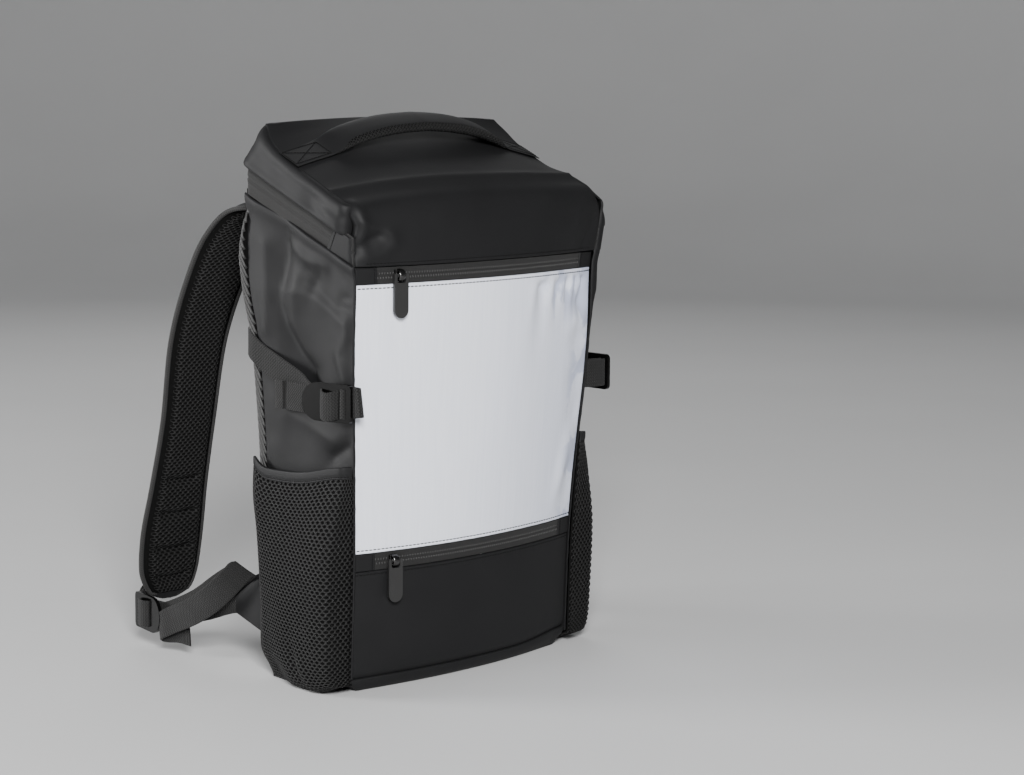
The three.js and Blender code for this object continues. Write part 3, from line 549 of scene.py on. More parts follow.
def shell_faces(across, along):
    """Faces of a closed wall between two grids of points"""
    size = (across + 1) * (along + 1)
    i, j = np.meshgrid(np.arange(across), np.arange(along))
    k, m = np.arange(across), np.arange(along)

    def at(face, a, b):
        return face * size + b * (across + 1) + a

    def quad(*corners):
        return np.stack([np.ravel(c) for c in np.broadcast_arrays(*corners)], 1)

    return np.vstack([
        quad(at(0, i, j), at(0, i + 1, j), at(0, i + 1, j + 1), at(0, i, j + 1)),
        quad(at(1, i, j), at(1, i, j + 1), at(1, i + 1, j + 1), at(1, i + 1, j)),
        quad(at(0, 0, m), at(0, 0, m + 1), at(1, 0, m + 1), at(1, 0, m)),
        quad(at(0, across, m), at(1, across, m), at(1, across, m + 1), at(0, across, m + 1)),
        quad(at(0, k, 0), at(1, k, 0), at(1, k + 1, 0), at(0, k + 1, 0)),
        quad(at(0, k, along), at(0, k + 1, along), at(1, k + 1, along), at(1, k, along))])


def shell(name, outer, inner, us, vs, size, look, node=None):
    """A closed wall between an outer and an inner grid of points"""
    u, v = np.meshgrid(us, vs)
    points = np.concatenate([outer.reshape(-1, 3), inner.reshape(-1, 3)])
    uv = np.tile(np.stack([u * size[0], v * size[1]], -1).reshape(-1, 2), (2, 1))
    return build(name, points, shell_faces(len(us) - 1, len(vs) - 1), look, uv, node=node)


class Face:
    """A finished face that stitches and teeth are laid on"""

    def __init__(self, us, vs, points, size):
        self.us, self.vs, self.points = us, vs, points
        self.width, self.height = size
        self.normals = outward(points)

    def at(self, u, v):
        i = np.clip(np.searchsorted(self.us, u) - 1, 0, len(self.us) - 2)
        j = np.clip(np.searchsorted(self.vs, v) - 1, 0, len(self.vs) - 2)
        s = ((u - self.us[i]) / (self.us[i + 1] - self.us[i]))[..., None]
        t = ((v - self.vs[j]) / (self.vs[j + 1] - self.vs[j]))[..., None]

        def read(grid):
            return lerp(lerp(grid[j, i], grid[j, i + 1], s), lerp(grid[j + 1, i], grid[j + 1, i + 1], s), t)

        return read(self.points), unit(read(self.normals))


EDGE_STEPS = np.array([0, 0.25, 0.6, 1.0, 1.5, 2.2])


def spaced(length, step):
    """Shares from 0 to 1 along a length, closer together at both ends"""
    inner = np.linspace(EDGE_STEPS[-1], length - EDGE_STEPS[-1], max(2, round(length / step)))
    return np.concatenate([EDGE_STEPS[:-1], inner, length - EDGE_STEPS[-2::-1]]) / length


def edge_drop(edge, roll):
    """How far a face turns in at a distance from its edge"""
    return roll - np.sqrt(np.maximum(roll**2 - np.clip(roll - edge, 0, roll) ** 2, 0))


def cloth(name, place, thick, look, step=2.8, relief=None, roll=1.2, node=None):
    """A wall of cloth with turned edges on a surface; relief says how far it stands out at a spot"""
    even, width, height = evenly(place)
    us, vs = spaced(width, step), spaced(height, step)
    u, v = np.meshgrid(us, vs)
    base = even(u, v)
    normal = outward(base)
    spot = SimpleNamespace(left=u * width, right=(1 - u) * width, low=v * height, high=(1 - v) * height,
                           x=base[..., 0], y=base[..., 1], z=base[..., 2])
    lift = relief(spot) if relief else np.zeros_like(u)
    edge = np.minimum(np.minimum(spot.left, spot.right), np.minimum(spot.low, spot.high))
    outer = base + normal * (lift - edge_drop(edge, min(roll, 0.9 * thick)))[..., None]
    inner = base + normal * (lift - thick)[..., None]
    piece = shell(name, outer, inner, us, vs, (width, height), look, node)
    return Face(us, vs, outer, (width, height))


WEB_STEPS, KNOT_STEPS = (3.0, 2.0), 60  # the first are across and along
WAVE_ACROSS, WAVE_LONG = 40, 30


def webbing(name, points, half_width, widths, node, wave=0.0, seed=1):
    """A flat strap through points; widths are the directions of its width there. Returns both faces"""
    path, thick = spline(points), WEBBING / 2
    t = np.linspace(0, 1, KNOT_STEPS * len(points))
    run = lengths(path(t))
    size = (2 * half_width, run[-1])
    us, vs = (spaced(*pair) for pair in zip(size, WEB_STEPS))
    share = np.interp(vs * size[1], run, t)
    line = path(share)
    knots = np.linspace(0, 1, len(points))
    widths = np.broadcast_to(np.asarray(widths, float), (len(points), 3))
    width = unit(np.stack([np.interp(share, knots, widths[:, k]) for k in range(3)], 1))
    normal = sideways(line, width)[:, None]
    u, v = np.meshgrid(us, vs)
    ripple = wave * noise(u * WAVE_ACROSS, v * size[1], WAVE_LONG, seed)
    middle = line[:, None] + width[:, None] * ((2 * u - 1) * half_width)[..., None]
    middle = middle + normal * ripple[..., None]
    edge = np.minimum(np.minimum(u, 1 - u) * size[0], np.minimum(v, 1 - v) * size[1])
    half = (thick - edge_drop(edge, 0.9 * thick))[..., None]
    sides = middle + normal * half, middle - normal * half
    shell(name, *sides, us, vs, size, "webbing", node)
    return [Face(us, vs, side, size) for side in sides]


TUBE_SIDES = 12


def tube_form(line, side, normal, wide, high, closed=False):
    """Points, faces and cloth coordinates of a flattened tube along a line"""
    sides, count = TUBE_SIDES, len(line)
    turn = np.linspace(0, 2 * math.pi, sides, endpoint=False)[:, None]
    ring = side[:, None] * (np.cos(turn) * wide / 2) + normal[:, None] * (np.sin(turn) * high / 2)
    points = (line[:, None] + ring).reshape(-1, 3)
    i, j = np.meshgrid(np.arange(sides), np.arange(count if closed else count - 1))

    def at(a, b):
        return ((b % count) * sides + a % sides).ravel()

    faces = np.stack([at(i, j), at(i + 1, j), at(i + 1, j + 1), at(i, j + 1)], 1).tolist()
    if not closed:
        last = sides * (count - 1)
        faces += [list(range(sides - 1, -1, -1)), list(range(last, last + sides))]
    around = np.tile(turn[:, 0] / (2 * math.pi) * (wide + high) * 1.5, count)
    return points, faces, np.stack([around, np.repeat(lengths(line), sides)], 1)


def tube(name, line, side, normal, wide, high, look, node=None, body="bag", closed=False):
    """A flattened tube along a line; side and normal are the directions of its width and height"""
    points, faces, uv = tube_form(line, side, normal, wide, high, closed)
    return build(name, points, faces, look, uv, body, node)


def tubes(name, lines, wide, high, look):
    """Many flattened tubes in one piece; each line comes with its normals"""
    points, faces, uv = [], [], []
    for line, normals in lines:
        form = tube_form(line, sideways(line, normals), normals, wide, high)
        faces += [[k + len(points) * len(form[0]) for k in face] for face in form[1]]
        points.append(form[0])
        uv.append(form[2])
    return build(name, np.concatenate(points), faces, look, np.concatenate(uv))


def capsules(name, centres, axes, normals, long, wide, high, look):
    """Small rounded bars, such as stitches or zip teeth, in one piece"""
    sides, rings = 6, ((-0.36, 0.75), (0, 1), (0.36, 0.75))
    turn = np.linspace(0, 2 * math.pi, sides, endpoint=False)
    form = [(x, r * math.cos(w), r * math.sin(w)) for x, r in rings for w in turn]
    form = np.array([(-0.5, 0, 0), *form, (0.5, 0, 0)])

    def ring(row, k):
        return 1 + row * sides + k % sides

    faces = []
    for k in range(sides):
        faces.append((0, ring(0, k + 1), ring(0, k)))
        faces.append((len(form) - 1, ring(2, k), ring(2, k + 1)))
        faces += [(ring(r, k), ring(r, k + 1), ring(r + 1, k + 1), ring(r + 1, k)) for r in range(2)]
    side = unit(np.cross(normals, axes))
    points = (centres[:, None] + form[:, :1] * long * axes[:, None] + form[:, 1:2] * wide / 2 * side[:, None]
              + form[:, 2:] * high / 2 * normals[:, None])
    every = [tuple(v + n * len(form) for v in face) for n in range(len(centres)) for face in faces]
    return build(name, points.reshape(-1, 3), every, look)


def along(points, normals, spots):
    """Points, tangents and normals at distances along a line"""
    run = lengths(points)

    def read(grid):
        return np.stack([np.interp(spots, run, grid[:, k]) for k in range(3)], 1)

    return read(points), unit(read(np.gradient(points, axis=0))), unit(read(normals))


STITCH_PITCH, STITCH_LONG, STITCH_WIDE, STITCH_HIGH, STITCH_PROUD = 3.4, 2.6, 0.75, 0.7, 0.12
STITCHES, BOLD_STITCHES = [], []


def stitch(face, corners, pitch=STITCH_PITCH, rows=STITCHES):
    """Lays a row of stitches on a face along straight lines between corners given as shares"""
    u, v = np.array(corners, float).T
    t = np.linspace(0, len(u) - 1, 300 * (len(u) - 1) + 1)
    points, normals = face.at(np.interp(t, np.arange(len(u)), u), np.interp(t, np.arange(len(v)), v))
    spots = np.arange(pitch / 2, lengths(points)[-1], pitch)
    centres, tangents, normals = along(points, normals, spots)
    rows.append((centres + normals * STITCH_PROUD, tangents, normals))


def stitch_row(face, from_top=None, from_foot=None, inset=0.005, **settings):
    """A row of stitches along the width, at a distance from the top or the foot"""
    v = 1 - from_top / face.height if from_foot is None else from_foot / face.height
    stitch(face, [(inset, v), (1 - inset, v)], **settings)


COIL_PITCH, COIL_OUT, COIL_PROUD, COIL_LONG, COIL_WIDE, COIL_HIGH = 2.7, 1.9, 0.25, 2.0, 1.3, 1.3


def coil(name, face, sink=0.0):
    """Two rows of zip teeth along the middle of a tape"""
    u = np.linspace(0.005, 0.995, 2000)
    points, normals = face.at(u, np.full_like(u, 0.5))
    rows = []
    for side, shift in ((1, 0.25), (-1, 0.75)):
        spots = np.arange(shift * COIL_PITCH, lengths(points)[-1], COIL_PITCH)
        centres, tangents, out = along(points, normals, spots)
        across = unit(np.cross(out, tangents))
        rows.append((centres + across * side * COIL_OUT + out * (COIL_PROUD - sink), across, out))
    centres, axes, out = (np.concatenate(part) for part in zip(*rows))
    return capsules(name, centres, axes, out, COIL_LONG, COIL_WIDE, COIL_HIGH, "teeth")


NET_ROW, NET_HOLE = 0.52, 0.56


def net(name, place, pitch, look, strand=0.5, node=None, across=0.5, along_at=0.5):
    """Knitted mesh with real holes: a staggered lattice, thick along its strands and thin at each hole"""
    place, width, height = evenly(place, across, along_at)
    row = NET_ROW * pitch
    corners = np.array([(0, 2), (0.5, 1), (0.5, -1), (0, -2), (-0.5, -1), (-0.5, 1)]) * [pitch, row / 3]
    centres = []
    for j in range(int((height - 4 * row / 3) / row) + 1):
        shift = pitch * (0.5 if j % 2 == 0 else 1.0)
        spots = np.arange(shift, width - pitch / 2 + 1e-6, pitch)
        centres.append(np.stack([spots, np.full_like(spots, 2 * row / 3 + j * row)], 1))
    centres = np.concatenate(centres)
    centres += (np.array([width, height]) - centres.max(0) - centres.min(0)) / 2
    outer = centres[:, None] + corners
    key = np.round((outer - outer.reshape(-1, 2).min(0)) / [pitch / 2, row / 3]).astype(int).reshape(-1, 2)
    _, first, index = np.unique(key, axis=0, return_index=True, return_inverse=True)
    index = index.reshape(-1, 6)
    knots = outer.reshape(-1, 2)[first]
    holes = (centres[:, None] + corners * NET_HOLE).reshape(-1, 2)
    u, v = (np.concatenate([knots, holes]) / [width, height]).clip(0, 1).T
    points, normals = place(u, v), normals_at(place, u, v)
    n = len(knots)
    front, back = points[:n] + normals[:n] * strand, points[:n] - normals[:n] * strand
    following = np.roll(index, -1, 1)
    inner = 2 * n + np.arange(len(holes)).reshape(-1, 6)
    inner_next = np.roll(inner, -1, 1)
    edges = np.sort(np.stack([index, following], -1).reshape(-1, 2), 1)
    rim, uses = np.unique(edges, axis=0, return_counts=True)
    rim = rim[uses == 1]
    faces = np.concatenate([
        np.stack([index, following, inner_next, inner], -1).reshape(-1, 4),
        np.stack([following + n, index + n, inner, inner_next], -1).reshape(-1, 4),
        np.stack([rim[:, 0], rim[:, 1], rim[:, 1] + n, rim[:, 0] + n], -1)])
    return build(name, np.concatenate([front, back, points[n:]]), faces, look, node=node)


SHARP, CRISP = math.radians(40), 50
SORTED_ALONG = Vector((1, 0.618, 0.382))


def rounded(name, shape, width, look, body="bag", node=None):
    """Finishes a hard form with rounded edges"""
    sharp = [e for e in shape.edges if len(e.link_faces) == 2 and e.calc_face_angle(0) > SHARP]
    bmesh.ops.bevel(shape, geom=sharp, offset=width * MM, segments=3, profile=0.5, affect="EDGES",
                    clamp_overlap=True)
    bmesh.ops.triangulate(shape, faces=[f for f in shape.faces if len(f.verts) > 4])
    # The bevel makes corners in another order each run
    shape.verts.sort(key=lambda v: v.co.dot(SORTED_ALONG))
    shape.edges.sort(key=lambda e: (e.verts[0].co + e.verts[1].co).dot(SORTED_ALONG))
    shape.faces.sort(key=lambda f: f.calc_center_median().dot(SORTED_ALONG))
    mesh = bpy.data.meshes.new(name)
    shape.to_mesh(mesh)
    shape.free()
    return finished(name, mesh, look, body=body, node=node, crisp=CRISP)


def rounded_node(name, node, width, look):
    """A copy of a hard solid with rounded edges"""
    shape = bmesh.new()
    shape.from_mesh(frame["nodes"][node].data)
    bmesh.ops.remove_doubles(shape, verts=shape.verts, dist=1e-6)
    bmesh.ops.dissolve_limit(shape, angle_limit=math.radians(1), verts=shape.verts, edges=shape.edges)
    return rounded(name, shape, width, look, node=node)


def plate(name, loops, thick, place, width, look, body="bag", node=None):
    """A moulded plate: its outline and holes lie in its own plane, place puts them in the bag"""
    points = [Vector(p) for loop in loops for p in loop]
    edges, start = [], 0
    for loop in loops:
        edges += [(start + k, start + (k + 1) % len(loop)) for k in range(len(loop))]
        start += len(loop)
    flat, _, faces, *_ = delaunay_2d_cdt(points, edges, [], 5, 1e-5)
    flat = np.array([tuple(p) for p in flat])
    count = len(flat)
    shape = bmesh.new()
    for level in (thick / 2, -thick / 2):
        for point in place(flat[:, 0], flat[:, 1], level) * MM:
            shape.verts.new(point)
    shape.verts.ensure_lookup_table()
    uses = {}
    for face in faces:
        shape.faces.new([shape.verts[k] for k in face])
        shape.faces.new([shape.verts[k + count] for k in reversed(face)])
        for a, b in zip(face, [*face[1:], face[0]]):
            uses[frozenset((a, b))] = None if frozenset((a, b)) in uses else (a, b)
    for a, b in filter(None, uses.values()):
        shape.faces.new([shape.verts[k] for k in (b, a, a + count, b + count)])
    return rounded(name, shape, width, look, body, node)


def arc(centre, radius, start, end, steps):
    """Points on part of a circle or ellipse, angles in degrees"""
    angles = np.radians(np.linspace(start, end, steps + 1))
    rx, ry = radius if np.ndim(radius) else (radius, radius)
    return [(centre[0] + rx * math.cos(w), centre[1] + ry * math.sin(w)) for w in angles]


def rounded_box(low, high, corner, steps=4):
    """Corners of a rectangle with round corners"""
    (x0, y0), (x1, y1) = low, high
    spots = ((x1 - corner, y1 - corner, 0), (x0 + corner, y1 - corner, 90), (x0 + corner, y0 + corner, 180),
             (x1 - corner, y0 + corner, 270))
    return [p for x, y, turn in spots for p in arc((x, y), corner, turn, turn + 90, steps)]


# Surfaces of the bag, as the solids have them, with the swell of the right shoulder

SWELL, SWELL_ROUND, SWELL_FORWARD, SWELL_SINK, SEWN_SOFT, RIGHT_RISE = 11.0, 14.0, 4.0, 0.45, 3.0, 6.0
SWELL_LOW, SWELL_HIGH, SWELL_BEHIND, SWELL_LEAN = (270, 70), (405, 60), (20, 80), (4, 5)
RISE_FRONT, RISE_BACK = (-74, 13), (-52, 40)
SEAM_SHIFTS = table("size z z_wide", (3.5, 265, 75), (2, 395, 30))
wall_back, wall_half, wall_edge, wall_bulge = curves(SECTIONS)


def on_right(side, size):
    """The size where the side is the right one, else 0"""
    return np.where(np.asarray(side) > 0, size, 0.0)


def seam_shift(side, z):
    """How far the front seam lies further out than in the solids"""
    return on_right(side, hills(SEAM_SHIFTS, z=z))


def swell(side, behind, z):
    """Outward and forward swell of the wall behind its front seam, and the shift of the seam there"""
    size = on_right(side, SWELL) * ease(z, *SWELL_LOW) * (1 - SWELL_SINK * ease(z, *SWELL_HIGH))
    out = np.sqrt(np.maximum(1 - np.clip(1 - behind / SWELL_ROUND, 0, 1) ** 2, 0))
    fade = 1 - ease(behind, *SWELL_BEHIND)
    forward = SWELL_FORWARD / SWELL * bump(behind, *SWELL_LEAN)
    sewn = CLOTH / SWELL * np.exp(-behind / SEWN_SOFT)
    return size * (out * fade - sewn), size * forward, seam_shift(side, z) * fade


BACK_EDGE = table(
    "z side rear",
    (12, 38, 46), (48, 45.5, 55.5), (100, 45, 55.5), (180, 43, 54), (250, 43.5, 54), (298, 48, 58),
    (323, 54, 64.5), (345, 57.5, 68), (370, 59, 67), (384, 59.5, 63.5), (396, 60, 61), (420, 60, 60.6))
edge_side, edge_rear = curves(BACK_EDGE)


def level_z(level, y):
    """Height of a level line, which rises towards the back in the upper half"""
    share = np.clip((y - wall_edge(level)) / (REAR - wall_edge(level)), 0, 1)
    return lerp(level, wall_back(level), share)


REAR_TURN, REAR_PART, EDGE_PART, UNDER_LID = 1.2, (0.85, 0.15), (0.6, 0.4), (372, 24)


def side_point(side, share, level):
    """A point on a side panel: share 0 is its front edge, 1 its rear edge"""
    x = wall_half(level) - hills(SIDE_DENTS, share=share, z=level) * np.sin(math.pi * share) ** 2
    front = wall_edge(level) - RIM
    y = lerp(front, SIDE_BACK, share)
    z = level_z(level, y)
    y = y + (edge_side(z) - SIDE_BACK) * ease(share, *EDGE_PART)
    turn = np.clip((share - REAR_PART[0]) / REAR_PART[1], 0, 1)
    x = x - REAR_TURN * (turn**2 + smooth(turn) ** 2 * ease(z, *UNDER_LID))
    out, forward, shift = swell(side, y - front, z)
    return stack(side * (x + out + shift), y - forward, z)


def front_point(share, z, inset=0.0):
    """A point on the front: share -1 is its left seam, 1 its right seam"""
    y = wall_edge(z) - wall_bulge(z) * (1 - share * share)
    shift = seam_shift(np.sign(share), z) * np.abs(share) ** 6
    return stack(share * (wall_half(z) - CLOTH - SEAM) + shift, y + inset, z)


top_half, top_side_y, top_side_z, top_mid_y, top_mid_z = curves(TOP_ROWS)


def right_rise(side, y):
    """How much higher the right front corner of the top stands"""
    return on_right(side, RIGHT_RISE) * ease(y, *RISE_FRONT) * (1 - ease(y, *RISE_BACK))


EDGE_TUCK, TUCK_Z = 4.0, (391, 10)
FOLDED_RUN, FOLDED_OUT, FOLDED_WIDER = (112, 15), 4.0, 0.6


def top_point(u, v):
    """A point on the top panel: v 0 is its rear edge, 1 its edge above the upper front zip"""
    share, run = 2 * u - 1, v * TOP_RUN
    out = np.abs(share)
    arch = 1 - out**TOP_ROUND
    folded = on_right(share, 1.0) * ease(run, *FOLDED_RUN) * out**6
    y = lerp(top_side_y(run), top_mid_y(run), arch) - FOLDED_OUT * folded
    z = lerp(top_side_z(run), top_mid_z(run), arch) + right_rise(share, top_side_y(run)) * out**4
    behind = top_side_y(run) - LID_LOOPS["front"][2] + RIM
    shift = swell(np.sign(share), behind, top_side_z(run))[2] + FOLDED_WIDER * folded
    tuck = on_right(-share, EDGE_TUCK) * bump(top_side_z(run), *TUCK_Z) * out**10
    shift = shift + tuck / np.maximum(out, 0.2) ** 5
    return stack(share * top_half(run) + shift * out**5, y, z)


def lid_point(level, share):
    """A point on the lid's loop: share 0 is its front left end, 0.5 the middle of the back"""
    loop = SimpleNamespace(**{name: np.interp(level, [0, 1, 2], LID_LOOPS[name]) for name in LID_LOOPS})
    way = 1 - np.abs(2 * share - 1)
    straight, turn = loop.half_rear - loop.corner, loop.rear - loop.corner
    angle = np.clip((way - 0.5) * 4, 0, 1) * math.pi / 2
    side_x = lerp(loop.half_front, loop.half_rear, 2 * way)
    x = np.where(way < 0.5, side_x, straight + loop.corner * np.cos(angle))
    x = np.where(way > 0.75, lerp(straight, 0, (way - 0.75) * 4), x)
    y = np.where(way < 0.5, lerp(loop.front - RIM, turn, 2 * way), turn + loop.corner * np.sin(angle))
    deep = np.clip((y - loop.front) / (loop.rear - loop.front), 0, 1)
    z = lerp(loop.low, loop.high, lerp(deep, deep**8, loop.kick))
    side = np.where(share < 0.5, -1, 1)
    out, forward, shift = swell(side, y - loop.front + RIM, z)
    z = z + right_rise(side, y) * smooth(level - 1)
    out = shift + out * (1 - smooth(level - 1))
    return stack(side * (x + np.where(way < 0.75, out, 0)), y - forward, z)


pocket_z, pocket_out = curves(POCKET_ROWS)
pocket_full = curves(POCKET_DEPTH)[0]
MOUTH_LOW, MOUTH_PART = -3.5, (0.6, 0.4)
MOUTH_RISES = table("size share share_wide", (11, 0, 0.34), (8, 1, 0.1))
MOUTH_CORNER = table("size share share_wide way way_wide", (4, 0.92, 0.12, 0.88, 0.12))
FOOT_RISE, FOOT_WIDE, FOOT_PART = 8, 0.14, (0, 0.3)
POCKET_REAR = SIDE_BACK + 1.5
REAR_TUCKS = ((2.5, 60, 100), (15, 0, 27))  # how deep, and the start and span of its end
SLIM_LOW, SLIM_HIGH, SLIM_CHANGE, SLIM_END, SLIM_PART = 0.8, 0.45, (5, 30), (20, 120), (0.5, 0.45)


def pocket_point(side, share, way, out=0.0, rise=0.0):
    """A point of a side pocket: way 0 is its foot under the bag, 1 its mouth"""
    mouth = MOUTH_LOW + hills(MOUTH_RISES, share=share)
    z = pocket_z(way) + mouth * ease(way, *MOUTH_PART) + rise
    z = z + FOOT_RISE * bump(share, 0, FOOT_WIDE) * (1 - ease(way, *FOOT_PART))
    on_wall = np.maximum(z, HEM_Z)
    rear = POCKET_REAR - sum(deep * (1 - ease(z, *end)) for deep, *end in REAR_TUCKS)
    y = lerp(wall_edge(on_wall) - POCKET_SEAM, rear, share)
    slim = lerp(SLIM_LOW, SLIM_HIGH, ease(z, *SLIM_CHANGE)) * (1 - ease(z, *SLIM_END))
    slim = 1 - slim * ease(share, *SLIM_PART)
    reach = POCKET_FULL[side] * pocket_out(way) * pocket_full(share) * slim
    reach = reach + hills(MOUTH_CORNER, share=share, way=way)
    return stack(side * (wall_half(on_wall) + SEAM + reach + out), y, z)


# Panels

PUCKER_HIGH, PUCKER_SIZE, PUCKER_SOFT = 0.25, 5, 6
FOOT_LIFT, LIFT_PART, LIFT_END = 5, (0.35, 0.65), 70


def puckers(run, edge, seed):
    """Small gathers along a sewn edge"""
    return PUCKER_HIGH * noise(run, 0 * edge + 7 * seed, PUCKER_SIZE, seed) * np.exp(-edge / PUCKER_SOFT)


def groove(distance, deep=0.5, wide=0.9):
    """Where a row of stitches pulls the cloth in"""
    return -deep * bump(distance, 0, wide)


def foot_lift(share, z):
    """How far the foot of the bag is lifted towards its right front corner"""
    return FOOT_LIFT * ease(share, *LIFT_PART) ** 1.5 * (1 - ease(z, HEM_Z, LIFT_END))


def front_strip(low, high, inset=0.0, start=-1.0, end=1.0):
    """The front between two heights, as a surface"""
    def place(u, v):
        share, z = lerp(start, end, u), lerp(low + SEAM / 2, high - SEAM / 2, v)
        point = front_point(share, z, inset)
        point[..., 2] += foot_lift(share, z)
        return point

    return place


HEM_STITCH, WHITE_STITCH, TOP_STITCH, BINDING_STITCH, HEM_UNDER = 2.8, 2.9, 3.2, 2.2, 1.8
WHITE_PITCH, PATCH_PITCH = 4.0, 2.6
HEM_SEAM, ZIP_SLIT = (2.2, 3.2), (0.6, 1.2)  # how deep and how wide
GATHER_HIGH, GATHER_FAN, GATHER_START = 3.0, 0.1, (5, 8)
EDGE_FOLD, EDGE_FOLD_SIZE, EDGE_FOLD_X, EDGE_FOLD_END = 3.2, 17, (106, 26), (0, 12)
SLANT_FOLD, SLANT, SLANT_FROM, SLANT_X, SLANT_Z = 2.6, 0.3, 180, (118, 9), (165, 26)


def add_front():
    def lower_relief(spot):
        lift = waves(spot.x, spot.z, (0.6, 60, 3)) + puckers(spot.left, spot.high, 4)
        return lift + groove(spot.high - HEM_STITCH) + groove(spot.low, *HEM_SEAM)

    face = cloth("front_lower_cloth", front_strip(HEM_Z - HEM_UNDER, LOWER_ZIP[0]), CLOTH, "coated",
                 relief=lower_relief, node="front_lower_panel")
    stitch_row(face, from_top=HEM_STITCH)

    def white_relief(spot):
        down = spot.high
        lift = waves(spot.x, spot.z, (0.5, 70, 5), (0.12, 18, 6))
        for at, wide, long, deep in zip(*GATHERS.values()):
            fan = bump(spot.x + GATHER_FAN * down, at, wide + GATHER_FAN * down)
            lift = lift + GATHER_HIGH * deep * fan * np.exp(-down / long) * ease(down, *GATHER_START)
        folds = EDGE_FOLD * noise(spot.z, 0 * spot.x, EDGE_FOLD_SIZE, 7)
        lift = lift + folds * ease(spot.x, *EDGE_FOLD_X) * ease(spot.right, *EDGE_FOLD_END)
        slanted = bump(spot.x - SLANT * (spot.z - SLANT_FROM), *SLANT_X) * bump(spot.z, *SLANT_Z)
        lift = lift + SLANT_FOLD * slanted
        lift = lift + groove(spot.high - WHITE_STITCH) + groove(spot.low - WHITE_STITCH)
        return lift + puckers(spot.left, spot.low, 8) + puckers(spot.left, spot.high, 9)

    face = cloth("reflective_sheet", front_strip(LOWER_ZIP[1], UPPER_ZIP[0]), CLOTH, "reflective",
                 relief=white_relief, node="reflective_panel")
    stitch_row(face, from_top=WHITE_STITCH, pitch=WHITE_PITCH, rows=BOLD_STITCHES)
    stitch_row(face, from_foot=WHITE_STITCH, pitch=WHITE_PITCH, rows=BOLD_STITCHES)
    inner = 1 - 2 * PATCH_FRONT
    patches = (("left", (-1.0, -inner), 0.86), ("right", (inner, 1.0), 0.14))
    for name, heights in (("lower", LOWER_ZIP), ("upper", UPPER_ZIP)):
        tape = cloth(f"{name}_zip_tape", front_strip(*heights, TAPE_INSET), TAPE, "tape", roll=0.4,
                     relief=lambda spot: groove(spot.low - spot.high, *ZIP_SLIT), node=f"front_zip_{name}")
        coil(f"{name}_zip_coil", tape)
        for label, ends, line in patches:
            patch = cloth(f"{name}_zip_patch_{label}", front_strip(*heights, -PATCH_PROUD, *ends),
                          PATCH_CLOTH, "coated", step=2, node=f"front_zip_{name}_end_{label}")
            stitch(patch, [(line, 0.06), (line, 0.94)], PATCH_PITCH)


CREASE_RUN, CREASE_BEND, CREASED = 113.0, 15.0, (125, 12)
FOLD_HIGH, FOLD_ROUND, FOLD_SOFT, FOLD_VALLEY = 1.6, 0.6, 3.5, (14, 9)
CORNER_RUN, CORNER_END, CORNER_HIGH, CORNER_AT, TOP_CURL = (112, 14), (4, 14), 1.6, (8, 5), 6.5


def add_top():
    def relief(spot):
        run = spot.low
        share = 2 * spot.left / (spot.left + spot.right) - 1
        lift = waves(spot.x, run, (0.6, 70, 11), (0.15, 22, 12))
        lift = lift + ease(run, *CREASED) * creases(TOP_CREASES, spot.x, spot.z)
        fold = run - CREASE_RUN + CREASE_BEND * share**2
        lift = lift + FOLD_HIGH * np.exp(-np.sqrt(fold**2 + FOLD_ROUND) / FOLD_SOFT)
        lift = lift - bump(fold, *FOLD_VALLEY)
        corner = ease(run, *CORNER_RUN) * ease(spot.high, *CORNER_END)
        lift = lift + corner * (CORNER_HIGH * bump(spot.left, *CORNER_AT) - edge_drop(spot.left, TOP_CURL))
        return lift + groove(spot.high - TOP_STITCH) + puckers(spot.left, spot.high, 13)

    face = cloth("top_cloth", top_point, CLOTH, "coated", step=2.7, relief=relief, roll=1.8,
                 node="top_panel")
    stitch_row(face, from_top=TOP_STITCH, inset=0.03)


ZIP_LIP, TAPE_DEEP = {-1: 1.3, 1: 0.4}, {-1: 3.2, 1: 1.0}
ZIP_EDGE, HELD_FRONT, HELD_REAR = (3.5, 5), (0, 8), (0, 10)


def add_sides():
    for side, rows in ((-1, LEFT_CREASES), (1, RIGHT_CREASES)):
        def place(u, v):
            return side_point(side, u, lerp(HEM_Z, MAIN_ZIP_LOW - SEAM, v))

        def relief(spot):
            lift = creases(rows, spot.y, spot.z)
            lift = lift + waves(spot.y, spot.z, (0.9, 34, 21 + side), (0.3, 13, 24 + side))
            lift = lift * ease(spot.left, *HELD_FRONT) * ease(spot.right, *HELD_REAR)
            return lift + 1.5 * puckers(spot.low, spot.left, 27) + ZIP_LIP[side] * bump(spot.high, *ZIP_EDGE)

        cloth(f"side_cloth_{SIDE_NAMES[side]}", place, CLOTH, "coated", step=2.7, relief=relief,
              node=f"side_panel_{SIDE_NAMES[side]}")


LID_CURL, LID_START, ZIP_START, MIDDLE_CHANGE = 9.0, 0.022, 0.008, (-60, 120)
LID_FOLDS = table("size y y_wide low low_wide", (2.4, -50, 13, 13, 12), (-1.8, -26, 9, 13, 12))
LID_FOOT, LID_RIM, LID_RIM_HIGH, RIM_ROUND, RIM_SHARE = (14, 9), (9, 7), 1.5, 4.0, 0.8
TAPE_UNDER, PATCH_UNDER, PATCH_OVER, PATCH_CURL = 3.0, 2.0, 1.4, 4.0
SLIT_LIP, SLIT_LIP_AT, SLIT_DEEP, SLIT_WIDE = 0.7, (2.4, 1.3), 0.9, 0.8


def left_to_right(pair, x):
    """A value that changes from the left one to the right one across the middle of the bag"""
    return lerp(pair[-1], pair[1], ease(x, *MIDDLE_CHANGE))


